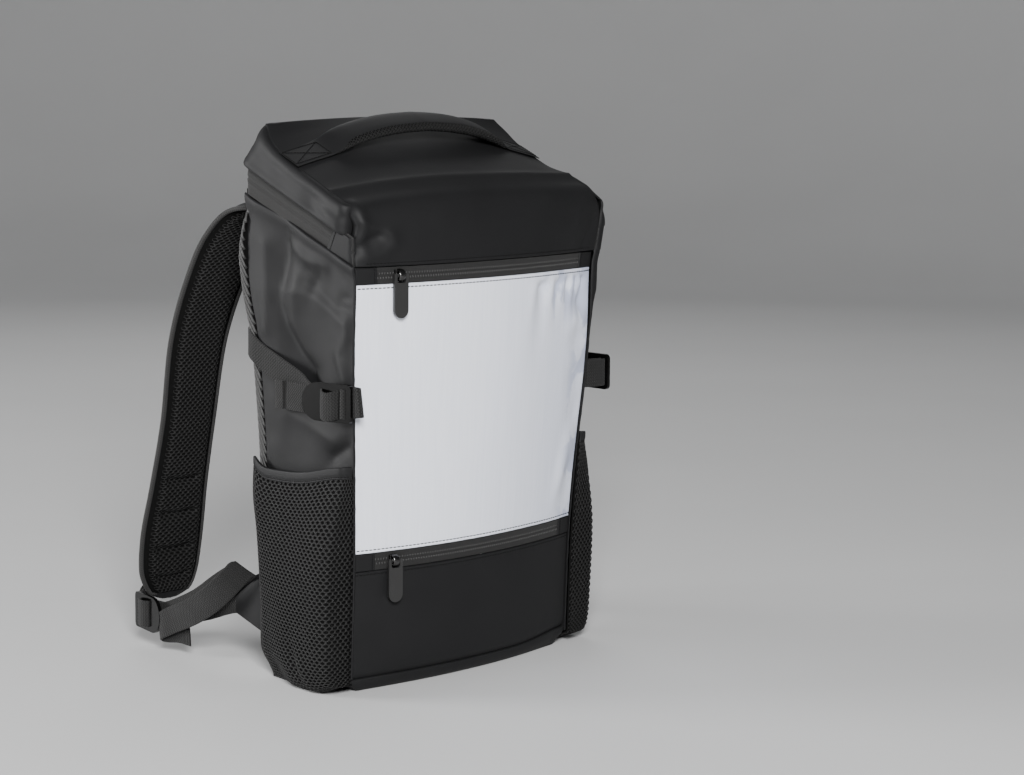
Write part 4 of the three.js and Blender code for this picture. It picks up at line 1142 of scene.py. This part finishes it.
def lid_strip(low, high, inset=0.0, start=0.0, end=1.0, under=-SEAM / 2, sunk=0.0):
    """The lid between two of its loops, as a surface; under says how far it reaches past both edges"""
    def flush(u, v):
        point = lid_point(lerp(low, high, v), lerp(start, end, u))
        point[..., 2] += lerp(-under, under, v)
        return point

    def place(u, v):
        point = flush(u, v)
        normal = normals_at(flush, u, v)
        deep = (inset + sunk * left_to_right(TAPE_DEEP, point[..., 0]))[..., None]
        return point - normal * deep * np.sign(np.sum(normal * (point - INSIDE)))

    return place


def add_lid():
    def slit(spot):
        off = (spot.low - spot.high) / 2
        return SLIT_LIP * bump(np.abs(off), *SLIT_LIP_AT) + groove(off, SLIT_DEEP, SLIT_WIDE)

    def relief(spot):
        lift = waves(spot.left, spot.low, (0.7, 45, 31), (0.25, 16, 32))
        lift = lift + ease(-spot.y, -10, 60) * hills(LID_FOLDS, y=spot.y, low=spot.low)
        lip = left_to_right(ZIP_LIP, spot.x)
        lift = lift + bump(spot.low, *LID_FOOT) + lip * bump(spot.low, *ZIP_EDGE)
        lift = lift + LID_RIM_HIGH * bump(spot.high, *LID_RIM) - RIM_SHARE * edge_drop(spot.high, RIM_ROUND)
        return lift - edge_drop(spot.left, LID_CURL)

    cloth("lid_cloth", lid_strip(1, 2, start=LID_START), CLOTH, "coated", step=2.4, relief=relief, roll=1.8,
          node="lid_band")
    tape = cloth("main_zip_tape", lid_strip(0, 1, start=ZIP_START, under=TAPE_UNDER, sunk=1.0), TAPE, "tape",
                 step=2.0, roll=0.4, relief=slit, node="main_zip")
    coil("main_zip_coil", tape, sink=0.15)
    for side, line in ((-1, 0.88), (1, 0.12)):
        def place(u, v):
            end = PATCH_LID - PATCH_SLANT * (v - 0.5)
            ends = (ZIP_START, end) if side < 0 else (1 - end, 1.0)
            return lid_strip(0, 1, -PATCH_OVER, *ends, PATCH_UNDER, 1.0)(u, v)

        def turned(spot):
            return -edge_drop(spot.left if side < 0 else spot.right, PATCH_CURL)

        label = SIDE_NAMES[side]
        patch = cloth(f"main_zip_patch_{label}", place, PATCH_CLOTH, "coated", step=2, relief=turned,
                      node=f"main_zip_end_{label}")
        stitch(patch, [(line, 0.05), (line, 0.95)], PATCH_PITCH)


PAD_CORNER, PAD_STRIP, PAD_FULL, PAD_ENDS, PAD_EDGE = 5.0, 0.058, 4.0, 2.2, (85, 55)
NARROW_TOP, NARROW_FOOT, TOP_PART, FOOT_SPAN = 5, 7, (386, 22), 26


def back_point(u, v):
    """Round the right edge of the back pad, across it and round its left edge"""
    z = lerp(HEM_Z, PAD_TOP, v)
    half = wall_half(np.minimum(z, MAIN_ZIP_LOW)) - lerp(PAD_TAPER, 0, v)
    half = half - NARROW_TOP * ease(z, *TOP_PART) - NARROW_FOOT * (1 - ease(z, HEM_Z, FOOT_SPAN))
    flat, quarter = half - PAD_CORNER, math.pi * PAD_CORNER / 2
    side = np.maximum(edge_rear(z) - PAD_CORNER - edge_side(z) - SEAM, 0)
    way = np.abs(2 * u - 1) * (flat + quarter + side)
    angle = np.clip((way - flat) / PAD_CORNER, 0, math.pi / 2)
    x = np.minimum(way, flat) + PAD_CORNER * np.sin(angle)
    middle = REAR + PAD_FULL * np.sin(math.pi * v) ** 0.7 - PAD_ENDS * np.abs(2 * v - 1) ** 14
    rear = lerp(middle, edge_rear(z), ease(x, *PAD_EDGE))
    y = rear - PAD_CORNER * (1 - np.cos(angle)) - np.maximum(way - flat - quarter, 0)
    return stack(np.sign(0.5 - u) * x, y, z)


RIB_PITCH, RIB_WIDE, RIB_HIGH, RIB_TURN, RIB_ROWS = 3.0, 2.3, 2.2, math.radians(22), 18


def slanted_ribs(face, side):
    """Lines and normals of ribs that climb across a strip towards the back"""
    rise = face.width / math.tan(RIB_TURN)
    lines = []
    for foot in np.arange(1 - rise, face.height - 1, RIB_PITCH / math.sin(RIB_TURN)):
        up = np.linspace(max(foot, 0), min(foot + rise, face.height), RIB_ROWS)
        across = (up - foot) / rise
        lines.append(face.at(across if side > 0 else 1 - across, up / face.height))
    return lines


BACK_SIZE, BACK_STEPS, BACK_UNDER, BACK_LEAST, BACK_PITCH = (272, 400), (5, 8), 0.6, 0.3, 6.8


def back_strip(start, end):
    """Part of the back pad's round, as a surface"""
    return lambda u, v: back_point(lerp(start, end, u), v)


def add_back():
    us, vs = spaced(BACK_SIZE[0], BACK_STEPS[0]), spaced(PAD_TOP - HEM_Z, BACK_STEPS[1])
    u, v = np.meshgrid(us, vs)
    outer = back_point(u, v) - normals_at(back_point, u, v) * BACK_UNDER
    front = lerp(SIDE_BACK, edge_side(outer[..., 2]), ease(np.abs(outer[..., 0]), *PAD_EDGE)) + SEAM
    outer[..., 1] = np.maximum(outer[..., 1], front + BACK_LEAST)
    inner = stack(0.99 * outer[..., 0], front, outer[..., 2])
    core = shell("back_pad", outer, inner, us, vs, BACK_SIZE, "foam", "back_panel")
    net("back_mesh", back_strip(PAD_STRIP, 1 - PAD_STRIP), BACK_PITCH, "air_net", strand=0.8)
    for side, ends in ((1, (0.0, PAD_STRIP)), (-1, (1 - PAD_STRIP, 1.0))):
        face = cloth(f"back_edge_{SIDE_NAMES[side]}", back_strip(*ends), 1.2, "foam", roll=0.6)
        tubes(f"back_ribs_{SIDE_NAMES[side]}", slanted_ribs(face, side), RIB_WIDE, RIB_HIGH, "ribbed")


FLOOR_ROLL, ROLL_OUT, ROLL_IN, CORNER_CUT, CUT_PART = 0.1, 2.6, 2, 13.0, (0.7, 0.3)


def add_bottom():
    def curl(share):
        return np.clip((np.abs(share) - 1 + FLOOR_ROLL) / FLOOR_ROLL, 0, 1)

    def place(u, v):
        across, deep = 2 * u - 1, 2 * v - 1
        rise = np.maximum(curl(across), curl(deep))
        front = wall_edge(HEM_Z) - wall_bulge(HEM_Z) * (1 - across**2)
        belly = ROLL_OUT * np.sin(math.pi * rise) - ROLL_IN * (1 - rise)
        x = across * (wall_half(HEM_Z) + np.where(curl(across) > 0, belly, -ROLL_IN))
        rear = REAR - ROLL_IN - CORNER_CUT * ease(np.abs(across), *CUT_PART)
        y = lerp(front, rear, v)
        y = y + np.where(curl(deep) > 0, belly, -ROLL_IN) * np.sign(deep) * np.abs(deep) ** 8
        lift = foot_lift(across, HEM_Z) * smooth(-1.6 * deep - 0.6) * ease(rise, 0, 0.4)
        return stack(x, y, (HEM_Z - SEAM) * rise**1.6 + lift)

    cloth("bottom_cloth", place, CLOTH, "coated", step=3, node="bottom_panel")


# Folds of a pocket: the first two slant backwards as they climb
POCKET_SLANT = 0.5
SLANTED_FOLDS = table(
    "size slant slant_wide way way_wide", (4.6, 0.2, 0.06, 0.2, 0.1), (-4.2, 0.3, 0.07, 0.22, 0.1))
UPPER_FOLD = table("size share share_wide way way_wide", (-2, 0.5, 0.1, 0.85, 0.2))
POCKET_WAVE, POCKET_SIZE, POCKET_PITCH, POCKET_STRAND, BINDING_PITCH = (1.2, 34), (110, 175), 5.7, 0.7, 2.8
SHADE_SHEET_NEAR, SHADE_SHEET_FAR, BINDING_UNDER, BINDING_ROUND = 0.8, 1.5, 2, 0.5


def add_pocket(side):
    label = SIDE_NAMES[side]

    def belly(u, way):
        share = u if side > 0 else 1 - u
        point = pocket_point(side, share, way, SHADE_SHEET_NEAR)
        fold = hills(SLANTED_FOLDS, slant=share - POCKET_SLANT * way, way=way)
        fold = fold + hills(UPPER_FOLD, share=share, way=way)
        fold = fold + waves(share * POCKET_SIZE[0], way * POCKET_SIZE[1], (*POCKET_WAVE, 41 + side))
        hold = np.clip(np.sin(math.pi * share), 0, 1) ** 0.7 * np.clip(np.sin(math.pi * way), 0, 1)
        point[..., 0] += side * fold * hold
        return point

    mesh = net(f"pocket_mesh_{label}", belly, POCKET_PITCH, "net", strand=POCKET_STRAND,
               node=f"mesh_pocket_{label}", across=0.7, along_at=0.45)
    rear = 1.0 if side > 0 else 0.0
    t = np.linspace(0, 1, 90)
    across = np.concatenate([np.full_like(t, rear), lerp(rear, 1 - rear, t[1:])])
    line = belly(across, np.concatenate([1 - t, 0 * t[1:]]))
    out = np.broadcast_to((float(side), 0.0, 0.0), line.shape)
    cord = tube(f"pocket_seam_{label}", line, sideways(line, out), out, SEAM_CORD, SEAM_CORD, "net")

    # A near-black sheet just inside the net is painted shade: it stands in for the shaded inside of the
    # pocket, seen through the holes
    us, vs = np.linspace(0, 1, 41), np.linspace(0, 1, 61)
    u, v = np.meshgrid(us, vs)
    face, inward = belly(u, v), -normals_at(belly, u, v)
    flat = [np.mean(np.linalg.norm(np.diff(face, axis=k), axis=-1).sum(k)) for k in (1, 0)]
    backing = shell(f"pocket_shade_sheet_{label}", face + inward * SHADE_SHEET_NEAR, face + inward * SHADE_SHEET_FAR,
                    us, vs, flat, "backing")

    def bound(u, v):
        out = BINDING_CLOTH + BINDING_ROUND * np.sin(math.pi * v)
        share = u if side > 0 else 1 - u
        return pocket_point(side, share, np.ones_like(u), out, lerp(-BINDING_UNDER, BINDING_HIGH, v))

    face = cloth(f"pocket_hem_{label}", bound, BINDING_CLOTH, "coated", step=2.2,
                 relief=lambda spot: groove(spot.low - BINDING_STITCH, 0.4, 0.7),
                 node=f"pocket_binding_{label}")
    stitch_row(face, from_foot=BINDING_STITCH, inset=0.01, pitch=BINDING_PITCH)


COVER_SHARE, UNDER_SHARE, MESH_LIP, MESH_WRAP, LIP_END = 0.3, 0.7, 0.18, 0.8, (84, 18)
HANDLE_SIZE, HANDLE_STEPS, HANDLE_WAVE, LEAST_PUFF = (29, 2 * HANDLE_REACH), (1.6, 2.4), (0.05, 22, 51), 0.25
MESH_OVER, HANDLE_PITCH, SEWN_BOX, SEWN_ENDS = 0.4, 4.0, (0.13, 0.87), ((0.004, 0.135), (0.996, 0.865))


def add_handle():
    top, thick, half = curves(HANDLE_ROWS)
    row, ahead = (SimpleNamespace(**{name: values[k] for name, values in TOP_ROWS.items()}) for k in (2, 3))
    slope = unit(np.array([0, row.mid_y - ahead.mid_y, row.mid_z - ahead.mid_z]))
    up = np.array([0, -slope[2], slope[1]])

    def reach(v):
        return lerp(-HANDLE_REACH, HANDLE_REACH, v)

    def middle(u, v):
        x = reach(v)
        base = top_point(0.5 + x / (2 * row.half), np.full_like(x, row.run / TOP_RUN))
        base = base + slope * ((HANDLE_Y - base[..., 1]) / slope[1])[..., None]
        base[..., 0] = x
        base = base + slope * ((2 * u - 1) * half(np.abs(x)))[..., None]
        return base + up * (top(np.abs(x)) - COVER_SHARE * thick(np.abs(x)))[..., None]

    def crown(u, v, share):
        full = thick(np.abs(reach(v))) * share * (1 + waves(u * 29, v * 290, HANDLE_WAVE))
        return (LEAST_PUFF + full * np.sqrt(np.maximum(1 - np.abs(2 * u - 1) ** 2.6, 0)))[..., None] * up

    def cover_lip(v):
        """Where the cover ends before the front edge, which the mesh wraps"""
        return MESH_LIP * (1 - ease(np.abs(reach(v)), *LIP_END))

    us, vs = (spaced(*pair) for pair in zip(HANDLE_SIZE, HANDLE_STEPS))
    u, v = np.meshgrid(us, vs)
    core, below = middle(u, v) + 0.8 * crown(u, v, COVER_SHARE), middle(u, v) - crown(u, v, UNDER_SHARE)
    shell("handle_underside", below, core, us, vs, HANDLE_SIZE, "foam")
    u = lerp(cover_lip(v), 1, u)
    above = middle(u, v) + crown(u, v, COVER_SHARE)
    piece = shell("handle_cover", above, middle(u, v), us, vs, HANDLE_SIZE, "coated", "handle")
    cover = Face(us, vs, above, HANDLE_SIZE)
    left, right = SEWN_BOX
    for near, far in SEWN_ENDS:
        box = [(left, near), (right, near), (right, far), (left, far), (left, near)]
        for corners in (box, [box[0], box[2]], [box[1], box[3]]):
            stitch(cover, corners, PATCH_PITCH)
    start = 0.5 - HANDLE_PAD / (2 * HANDLE_REACH)

    def lining(u, v):
        v = lerp(start, 1 - start, v)
        lip = cover_lip(v) * (u - MESH_WRAP) / (1 - MESH_WRAP)
        over = (u > MESH_WRAP)[..., None]
        u = np.where(u > MESH_WRAP, np.maximum(lip, 0), 1 - u / MESH_WRAP)
        low = middle(u, v) - crown(u, v, UNDER_SHARE) - up * MESH_OVER
        return np.where(over, middle(u, v) + crown(u, v, COVER_SHARE) + up * MESH_OVER, low)

    net("handle_mesh", lining, HANDLE_PITCH, "air_net", strand=0.45)


# Shoulder straps

QUILT_ROWS = (0.575, 0.63, 0.70, 0.79)
QUILT_DEEP, QUILT_WIDE, QUILT_BEND, QUILT_BOW, QUILT_PART = 4.5, 4.0, 3.5, 0.7, (9, 8)
PAD_WIDE, PAD_STEPS, PAD_RIM, PAD_PART = 62, (2.6, 2.2), 1.3, (4, 8)
BIND_WIDE, BIND_HIGH, BIND_PROUD, BIND_END = 4.2, 4.4, 0.8, 0.985
LINING_ENDS, LINING_WIDE, LINING_INSET, MESH_INSET = (0.01, 0.984), 50, 3.4, 6.0


def add_shoulder_strap(side):
    label = SIDE_NAMES[side]
    path = spline(np.stack([-side * STRAP_ROWS["x"], STRAP_ROWS["y"], STRAP_ROWS["z"]], 1))
    shares = np.linspace(0, 1, len(STRAP_ROWS["x"]))
    half, thick, lean = (curve(shares, STRAP_ROWS[column]) for column in ("half", "thick", "lean"))
    t = np.linspace(0, 1, 900)
    run = lengths(path(t))
    length = run[-1]

    def axis(v):
        """Middle, width direction, normal towards the back, half width and half thickness"""
        s = np.interp(v * length, run, t)
        tangent = unit(path(np.clip(s + 0.003, 0, 1)) - path(np.clip(s - 0.003, 0, 1)))
        width = unit(stack(1, side * lean(s), 0))
        normal = unit(np.cross(tangent, width))
        return path(s), width, normal, half(s), thick(s) / 2

    def pad(u, v):
        """Middle, normal and half thickness: thin at the binding, full inside, quilted towards the tip"""
        middle, width, normal, reach, full = axis(v)
        across = 2 * u - 1
        edge = (1 - np.abs(across)) * reach
        puff = lerp(PAD_RIM, full, ease(edge, *PAD_PART))
        for row in QUILT_ROWS:
            sewn = v * length - np.interp(row, t, run) + QUILT_BEND * (across / QUILT_BOW) ** 2
            puff = puff - QUILT_DEEP * ease(edge, *QUILT_PART) * bump(sewn, 0, QUILT_WIDE)
        puff = np.where(edge < 1.0, np.maximum(0.4, 0.6 * puff), np.maximum(puff, 0.8))
        return middle + width * (across * reach)[..., None], normal, puff[..., None]

    us, vs = (spaced(*pair) for pair in zip((PAD_WIDE, length), PAD_STEPS))
    middle, normal, puff = pad(*np.meshgrid(us, vs))
    piece = shell(f"strap_pad_{label}", middle + normal * puff, middle - normal * puff, us, vs,
                  (PAD_WIDE, length), "coated", f"shoulder_strap_{label}")

    def lining(u, v, lift=0.9, inset=MESH_INSET):
        v = lerp(*LINING_ENDS, v)
        reach = half(np.interp(v * length, run, t))
        middle, normal, puff = pad(0.5 + (0.5 - u) * (1 - inset / reach), v)
        return middle + normal * (puff + lift)

    us, vs = np.linspace(0, 1, 22), np.linspace(0, 1, 150)
    faces = [lining(*np.meshgrid(us, vs), lift, LINING_INSET) for lift in (0.35, -0.1)]
    shell(f"strap_lining_{label}", *faces, us, vs, (LINING_WIDE, length), "foam")
    net(f"strap_mesh_{label}", lining, 5.2, "air_net", strand=0.65, along_at=0.6)

    middle, width, normal, reach, _ = axis(np.linspace(0, BIND_END, 260))
    inset = (reach - BIND_WIDE / 2 + BIND_PROUD)[:, None]
    outline = np.concatenate([middle - width * inset, (middle + width * inset)[::-1]])
    normals = np.concatenate([normal, normal[::-1]])
    tube(f"strap_binding_{label}", outline, sideways(outline, normals), normals, BIND_WIDE, BIND_HIGH,
         "binding")


# Straps with locks

LOCK_FRAME, LOCK_HALF, LOCK_THICK, LOCK_TAB, LOCK_ROUND = (-7.0, 29.0), 16.0, 3.2, 17.0, 4.0
LOCK_SLOTS = ((-2.4, 0.7, 12.8), (2.9, 8, 12.8), (22, 29, 12.8))


def lock(name, place, node):
    """A frame with three bars and a half-round thumb tab; place takes distance, height and depth"""
    start, end = LOCK_FRAME
    outline = arc((end, 0), (LOCK_TAB, LOCK_HALF), -90, 90, 24)
    outline += arc((start + LOCK_ROUND, LOCK_HALF - LOCK_ROUND), LOCK_ROUND, 90, 180, 5)
    outline += arc((start + LOCK_ROUND, LOCK_ROUND - LOCK_HALF), LOCK_ROUND, 180, 270, 5)
    slots = [rounded_box((a, -half), (b, half), 1.2) for a, b, half in LOCK_SLOTS]
    plate(name, [outline, *slots], LOCK_THICK, place, 1.0, "plastic", node=node)


HEM_PITCH = 2.4


def hem_stitches(faces, side, lines):
    """Stitches across the end of a strap, on the face that shows"""
    shown = max(faces, key=lambda face: side * face.normals[-9, 5, 0])
    for line in lines:
        stitch_row(shown, from_top=line, inset=0.08, pitch=HEM_PITCH)


# A side strap on its lock: where the lock is, its tilt, and how the strap sags in it
COMPRESSION_AT, COMPRESSION_HALF, LOCK_TILT, TILT_FROM = (145, -67, 247), 12, 0.09, 6
SAG, SAG_AT, COMPRESSION_HEMS = 3.2, (15, 8), (2.5, 6.0)
# The strap up to the lock and after it: distance, share of the lock's lift, further out, rise
STRAP_IN = ((127, 0, -1.5, 42), (121, 0, 1.6, 39), (106, 0, 2, 29.5), (84, 0.25, 0, 20), (58, 0.5, -2, 9))
STRAP_OUT = (
    (48, 1, -3, 0), (66, 0.7, -0.6, 0.5), (84, 0.6, 0, 1), (86.2, 0.6, 1, 1), (84, 0.6, 2, 1),
    (75, 0.6, 2.2, 1))
# The sewn loops: distance, out, rise and lean up to the lock, and where the right one goes back
ANCHOR_HALF = 12.3
ANCHOR_ROUTES = {
    -1: ((3, 0.8, 2, 0.15), (-4, 0.9, 2, 0.15), (-12, 1.8, 2, 0.15), (-15, 3.6, 2, 0.15), (-13, 5.4, 2, 0.14),
         (-8, 5.2, 1, 0.08)),
    1: ((7, 1.3, 0, 0), (0.5, 1.6, 0, 0), (-2, 8, 0, 0), (-3.4, 18, 0, 0))}
ANCHOR_RETURN = {-1: (), 1: ((4, 19), (6, 10), (10, 3.6))}


def add_compression(side):
    label, lift = SIDE_NAMES[side], LOCK_LIFT[side]
    far, near, level = COMPRESSION_AT

    def spot(away, out, rise=0.0):
        return side * (far + out), near + away, level + rise

    def tilted(away, out):
        return lift + out + LOCK_TILT * (away - TILT_FROM)

    def hung(rows):
        return [spot(away, share * lift + out, rise) for away, share, out, rise in rows]

    strap = hung(STRAP_IN)
    strap += [spot(away, tilted(away, out), -SAG * bump(away, *SAG_AT)) for away, out in MIDDLE_BAR_ROUTE]
    strap += hung(STRAP_OUT)
    faces = webbing(f"compression_webbing_{label}", strap, COMPRESSION_HALF, UP, f"compression_strap_{label}",
                    wave=0.5, seed=61 + side)
    hem_stitches(faces, side, COMPRESSION_HEMS)
    sewn = [(away, lift + out, 0, 0) for away, out in SEWN_BAR_ROUTE]
    rows = [*ANCHOR_ROUTES[side], *sewn, *((away, out, 0, 0) for away, out in ANCHOR_RETURN[side])]
    webbing(f"compression_loop_{label}", [spot(*row[:3]) for row in rows], ANCHOR_HALF,
            [(0, row[3], 1) for row in rows], f"compression_anchor_{label}")

    def place(away, high, out):
        return stack(*spot(away, tilted(away, out), high))

    lock(f"compression_frame_{label}", place, f"compression_lock_{label}")


# A lower strap on its lock: where the lock is, how it is turned about its upright middle line, and how far
# along the strap the turn reaches
LOWER_AT, LOWER_HALF, LOOP_HALF, LOWER_HEMS = (131, 219, 32), 12, 10, (3.0, 7.0)
LOCK_TURN, TURN_REACH, LOCK_MIDDLE, LOWER_LIFT = math.radians(16), 28.0, (10.0, 6.5), 6.5


def add_lower_strap(side):
    label = SIDE_NAMES[side]
    far, near, level = LOWER_AT

    def turned(away, out, rise, angle):
        a, o = away - LOCK_MIDDLE[0], out - LOCK_MIDDLE[1]
        away = LOCK_MIDDLE[0] + a * np.cos(angle) - o * np.sin(angle)
        out = LOCK_MIDDLE[1] + a * np.sin(angle) + o * np.cos(angle)
        return side * (far + out), near - away, level + rise

    def spot(away, out, rise=0.0):
        return turned(away, out, rise, LOCK_TURN * bump(away, LOCK_MIDDLE[0], TURN_REACH))

    def width(lean, roll):
        lean, roll = math.radians(lean), math.radians(roll)
        return (side * math.sin(roll), math.cos(roll) * math.sin(lean), math.cos(roll) * math.cos(lean))

    def mirrored(points):
        return [(-side * x, y, z) for x, y, z in points]

    rows = [*LOWER_ROUTE, *((a, LOWER_LIFT + out, 0, 0, 0) for a, out in MIDDLE_BAR_ROUTE), *TAIL_ROUTE]
    faces = webbing(f"lower_webbing_{label}", [spot(*row[:3]) for row in rows], LOWER_HALF,
                    [width(*row[3:]) for row in rows], f"lower_strap_{label}", wave=0.4, seed=71 + side)
    hem_stitches(faces, -side, LOWER_HEMS)
    sewn = [spot(away, LOWER_LIFT + out) for away, out in SEWN_BAR_ROUTE]
    loop = [*mirrored(LOOP_START), *sewn, *mirrored(LOOP_END)]
    webbing(f"strap_loop_{label}_webbing", loop, LOOP_HALF, UP, f"strap_loop_{label}")

    def place(away, high, out):
        return stack(*turned(away, LOWER_LIFT + out, high, LOCK_TURN))

    lock(f"strap_frame_{label}", place, f"strap_lock_{label}")
    rounded_node(f"strap_tab_{label}_cloth", f"strap_tab_{label}", 0.9, "coated")


# Zip pullers

RING_HALF, RING_LONG, RING_ROUND, RING_WIRE, RING_RISE = 5.5, 9.0, 1.2, 1.6, 0.4
PULL_HALF, PULL_LONG, PULL_THICK, PULL_EDGE, SLIDER_EDGE = 6.9, 35.4, 2.6, 0.8, 0.7
PRONG, NOTCH_LOW, NOTCH_ROUND = 1.3, -6.2, 2.0
# The arch of a slider over the ring: height and depth from the ring's axis
CROWN = ((4.6, -2.2), (4.0, 0.2), (2.2, 2.1), (0, 2.7), (-2.2, 2.1), (-4.0, 0.2), (-4.4, -2.0))
CROWN_WIDE, CROWN_HIGH, CROWN_STEPS = 6.4, 1.8, 48


def pull_outline():
    """A tab with a round end and two prongs on the ring"""
    prong, notch = PULL_HALF - PRONG, PULL_HALF - 2 * PRONG - NOTCH_ROUND
    outline = arc((0, PULL_HALF - PULL_LONG), PULL_HALF, 180, 360, 20)
    outline += arc((prong, RING_RISE), PRONG, 0, 180, 10)
    outline += arc((notch, NOTCH_LOW + NOTCH_ROUND), NOTCH_ROUND, 0, -90, 5)
    outline += arc((-notch, NOTCH_LOW + NOTCH_ROUND), NOTCH_ROUND, -90, -180, 5)
    return outline + arc((-prong, RING_RISE), PRONG, 0, 180, 10)


def add_pullers():
    rounded_node("main_slider_body", "main_zip_slider", SLIDER_EDGE, "metal")
    for name in ("upper", "lower"):
        body = f"{name}_puller"
        rounded_node(f"{name}_slider_body", f"{name}_slider", SLIDER_EDGE, "metal")
        joint = next(j for j in frame["joints"] if j["child"] == body)
        pivot, across = np.array(joint["pos_m"]) / MM, -np.array(joint["axis"])
        out = np.cross(across, UP)

        def place(x, z, depth):
            return pivot + np.outer(x, across) + np.outer(z, UP) + depth * out

        crown = spline(CROWN)(np.linspace(0, 1, CROWN_STEPS))
        line = pivot + np.outer(crown[:, 0], UP) + np.outer(crown[:, 1], out)
        bar = np.broadcast_to(across, line.shape)
        tube(f"{name}_slider_crown", line, bar, sideways(line, bar), CROWN_WIDE, CROWN_HIGH, "metal")
        wire = np.array(rounded_box((-RING_HALF, -RING_LONG), (RING_HALF, RING_RISE), RING_ROUND, 6))
        line = place(wire[:, 0], wire[:, 1], 0.0)
        tangent = unit(np.roll(line, -1, 0) - np.roll(line, 1, 0))
        tube(f"{name}_ring_wire", line, np.cross(tangent, out), np.broadcast_to(out, line.shape), RING_WIRE,
             RING_WIRE, "metal", f"{name}_ring", body, closed=True)
        plate(f"{name}_pull_tab", [pull_outline()], PULL_THICK, place, PULL_EDGE, "pull", body,
              f"{name}_pull")


def add_stitching():
    for name, rows, bold in (("stitching", STITCHES, 1.0), ("white_stitching", BOLD_STITCHES, 1.35)):
        centres, axes, normals = (np.concatenate(part) for part in zip(*rows))
        capsules(name, centres, axes, normals, bold * STITCH_LONG, bold * STITCH_WIDE, STITCH_HIGH, "thread")


# Stage, light and camera

CAMERA_PLACE, CAMERA_AIM = Vector((-1.6413, -1.6087, 0.5281)), Vector((0.05195, -0.06475, 0.24266))
CAMERA_ROLL, CAMERA_LENS = math.radians(0.36), 92.82
FLOOR_FLAT, FLOOR_SWEEP, FLOOR_SIDES = 3.6, 2.4, 96
WORLD_COLOR, WORLD_STRENGTH = (0.92, 0.94, 0.97, 1), 0.13
# Lamps: place, aim, size and power
LIGHTS = (
    ("key", (-2.0, 2.2, 0.7), (0, 0, 0.22), (1.3, 1.0), 110),
    ("front", (-2.1, -2.3, 1.6), (0, 0, 0.25), (0.9, 0.9), 215),
    ("rear", (1.6, 2.0, 2.3), (0, 0, 0.3), (1.6, 1.6), 20))


def add_stage():
    """A round pale floor that sweeps up all round, far behind the bag"""
    sides, steps = FLOOR_SIDES, np.linspace(0, math.pi / 2, 13)
    profile = [(0.6, 0.0), (1.6, 0.0), (FLOOR_FLAT, 0.0)]
    profile += [(FLOOR_FLAT + FLOOR_SWEEP * math.sin(w), FLOOR_SWEEP * (1 - math.cos(w))) for w in steps[1:]]
    turn = np.linspace(0, 2 * math.pi, sides, endpoint=False)
    points = [(0, 0, 0)] + [(r * math.cos(w), r * math.sin(w), z) for r, z in profile for w in turn]
    faces = [(0, 1 + k, 1 + (k + 1) % sides) for k in range(sides)]
    for row in range(len(profile) - 1):
        for k in range(sides):
            a, b = 1 + row * sides + k, 1 + row * sides + (k + 1) % sides
            faces.append((a, a + sides, b + sides, b))
    mesh = bpy.data.meshes.new("floor")
    mesh.from_pydata(points, [], faces)
    mesh.shade_smooth()
    floor = put("floor", mesh)
    pale = Look("pale_floor", None, 0.7, specular=0.2)
    pale.color(pale.grain(400, 3.0), (0.56, 0.56, 0.56), (0.6, 0.6, 0.6))
    mesh.materials.append(pale.material)
    floor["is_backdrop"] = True
    world = bpy.data.worlds.new("studio")
    bpy.context.scene.world = world
    world.use_nodes = True
    background = world.node_tree.nodes["Background"]
    background.inputs["Color"].default_value = WORLD_COLOR
    background.inputs["Strength"].default_value = WORLD_STRENGTH


def add_lights():
    for name, place, aim, size, power in LIGHTS:
        data = bpy.data.lights.new(name, "AREA")
        data.shape = "RECTANGLE"
        data.size, data.size_y = size
        data.energy = power
        lamp = put(name, data)
        lamp.location = place
        lamp.rotation_euler = (Vector(aim) - Vector(place)).to_track_quat("-Z", "Y").to_euler()


def add_camera():
    data = bpy.data.cameras.new("camera")
    data.sensor_fit, data.sensor_width, data.lens = "HORIZONTAL", 36.0, CAMERA_LENS
    data.clip_start, data.clip_end = 0.05, 50
    camera = put("camera", data)
    back = (CAMERA_PLACE - CAMERA_AIM).normalized()
    right = Vector((0, 0, 1)).cross(back).normalized()
    up = back.cross(right)
    turned_right = right * math.cos(CAMERA_ROLL) + up * math.sin(CAMERA_ROLL)
    turned_up = up * math.cos(CAMERA_ROLL) - right * math.sin(CAMERA_ROLL)
    pose = Matrix((turned_right, turned_up, back)).transposed().to_4x4()
    pose.translation = CAMERA_PLACE
    camera.matrix_world = pose
    bpy.context.scene.camera = camera


add_camera()
add_stage()
add_lights()
add_front()
add_top()
add_sides()
add_lid()
add_back()
add_bottom()
add_handle()
for hand in SIDE_NAMES:
    add_pocket(hand)
    add_shoulder_strap(hand)
    add_compression(hand)
    add_lower_strap(hand)
add_pullers()
add_stitching()

boxes = {"cad": CAD_BOX, "visual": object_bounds()}
{name: [list(corner) for corner in box] for name, box in boxes.items()}
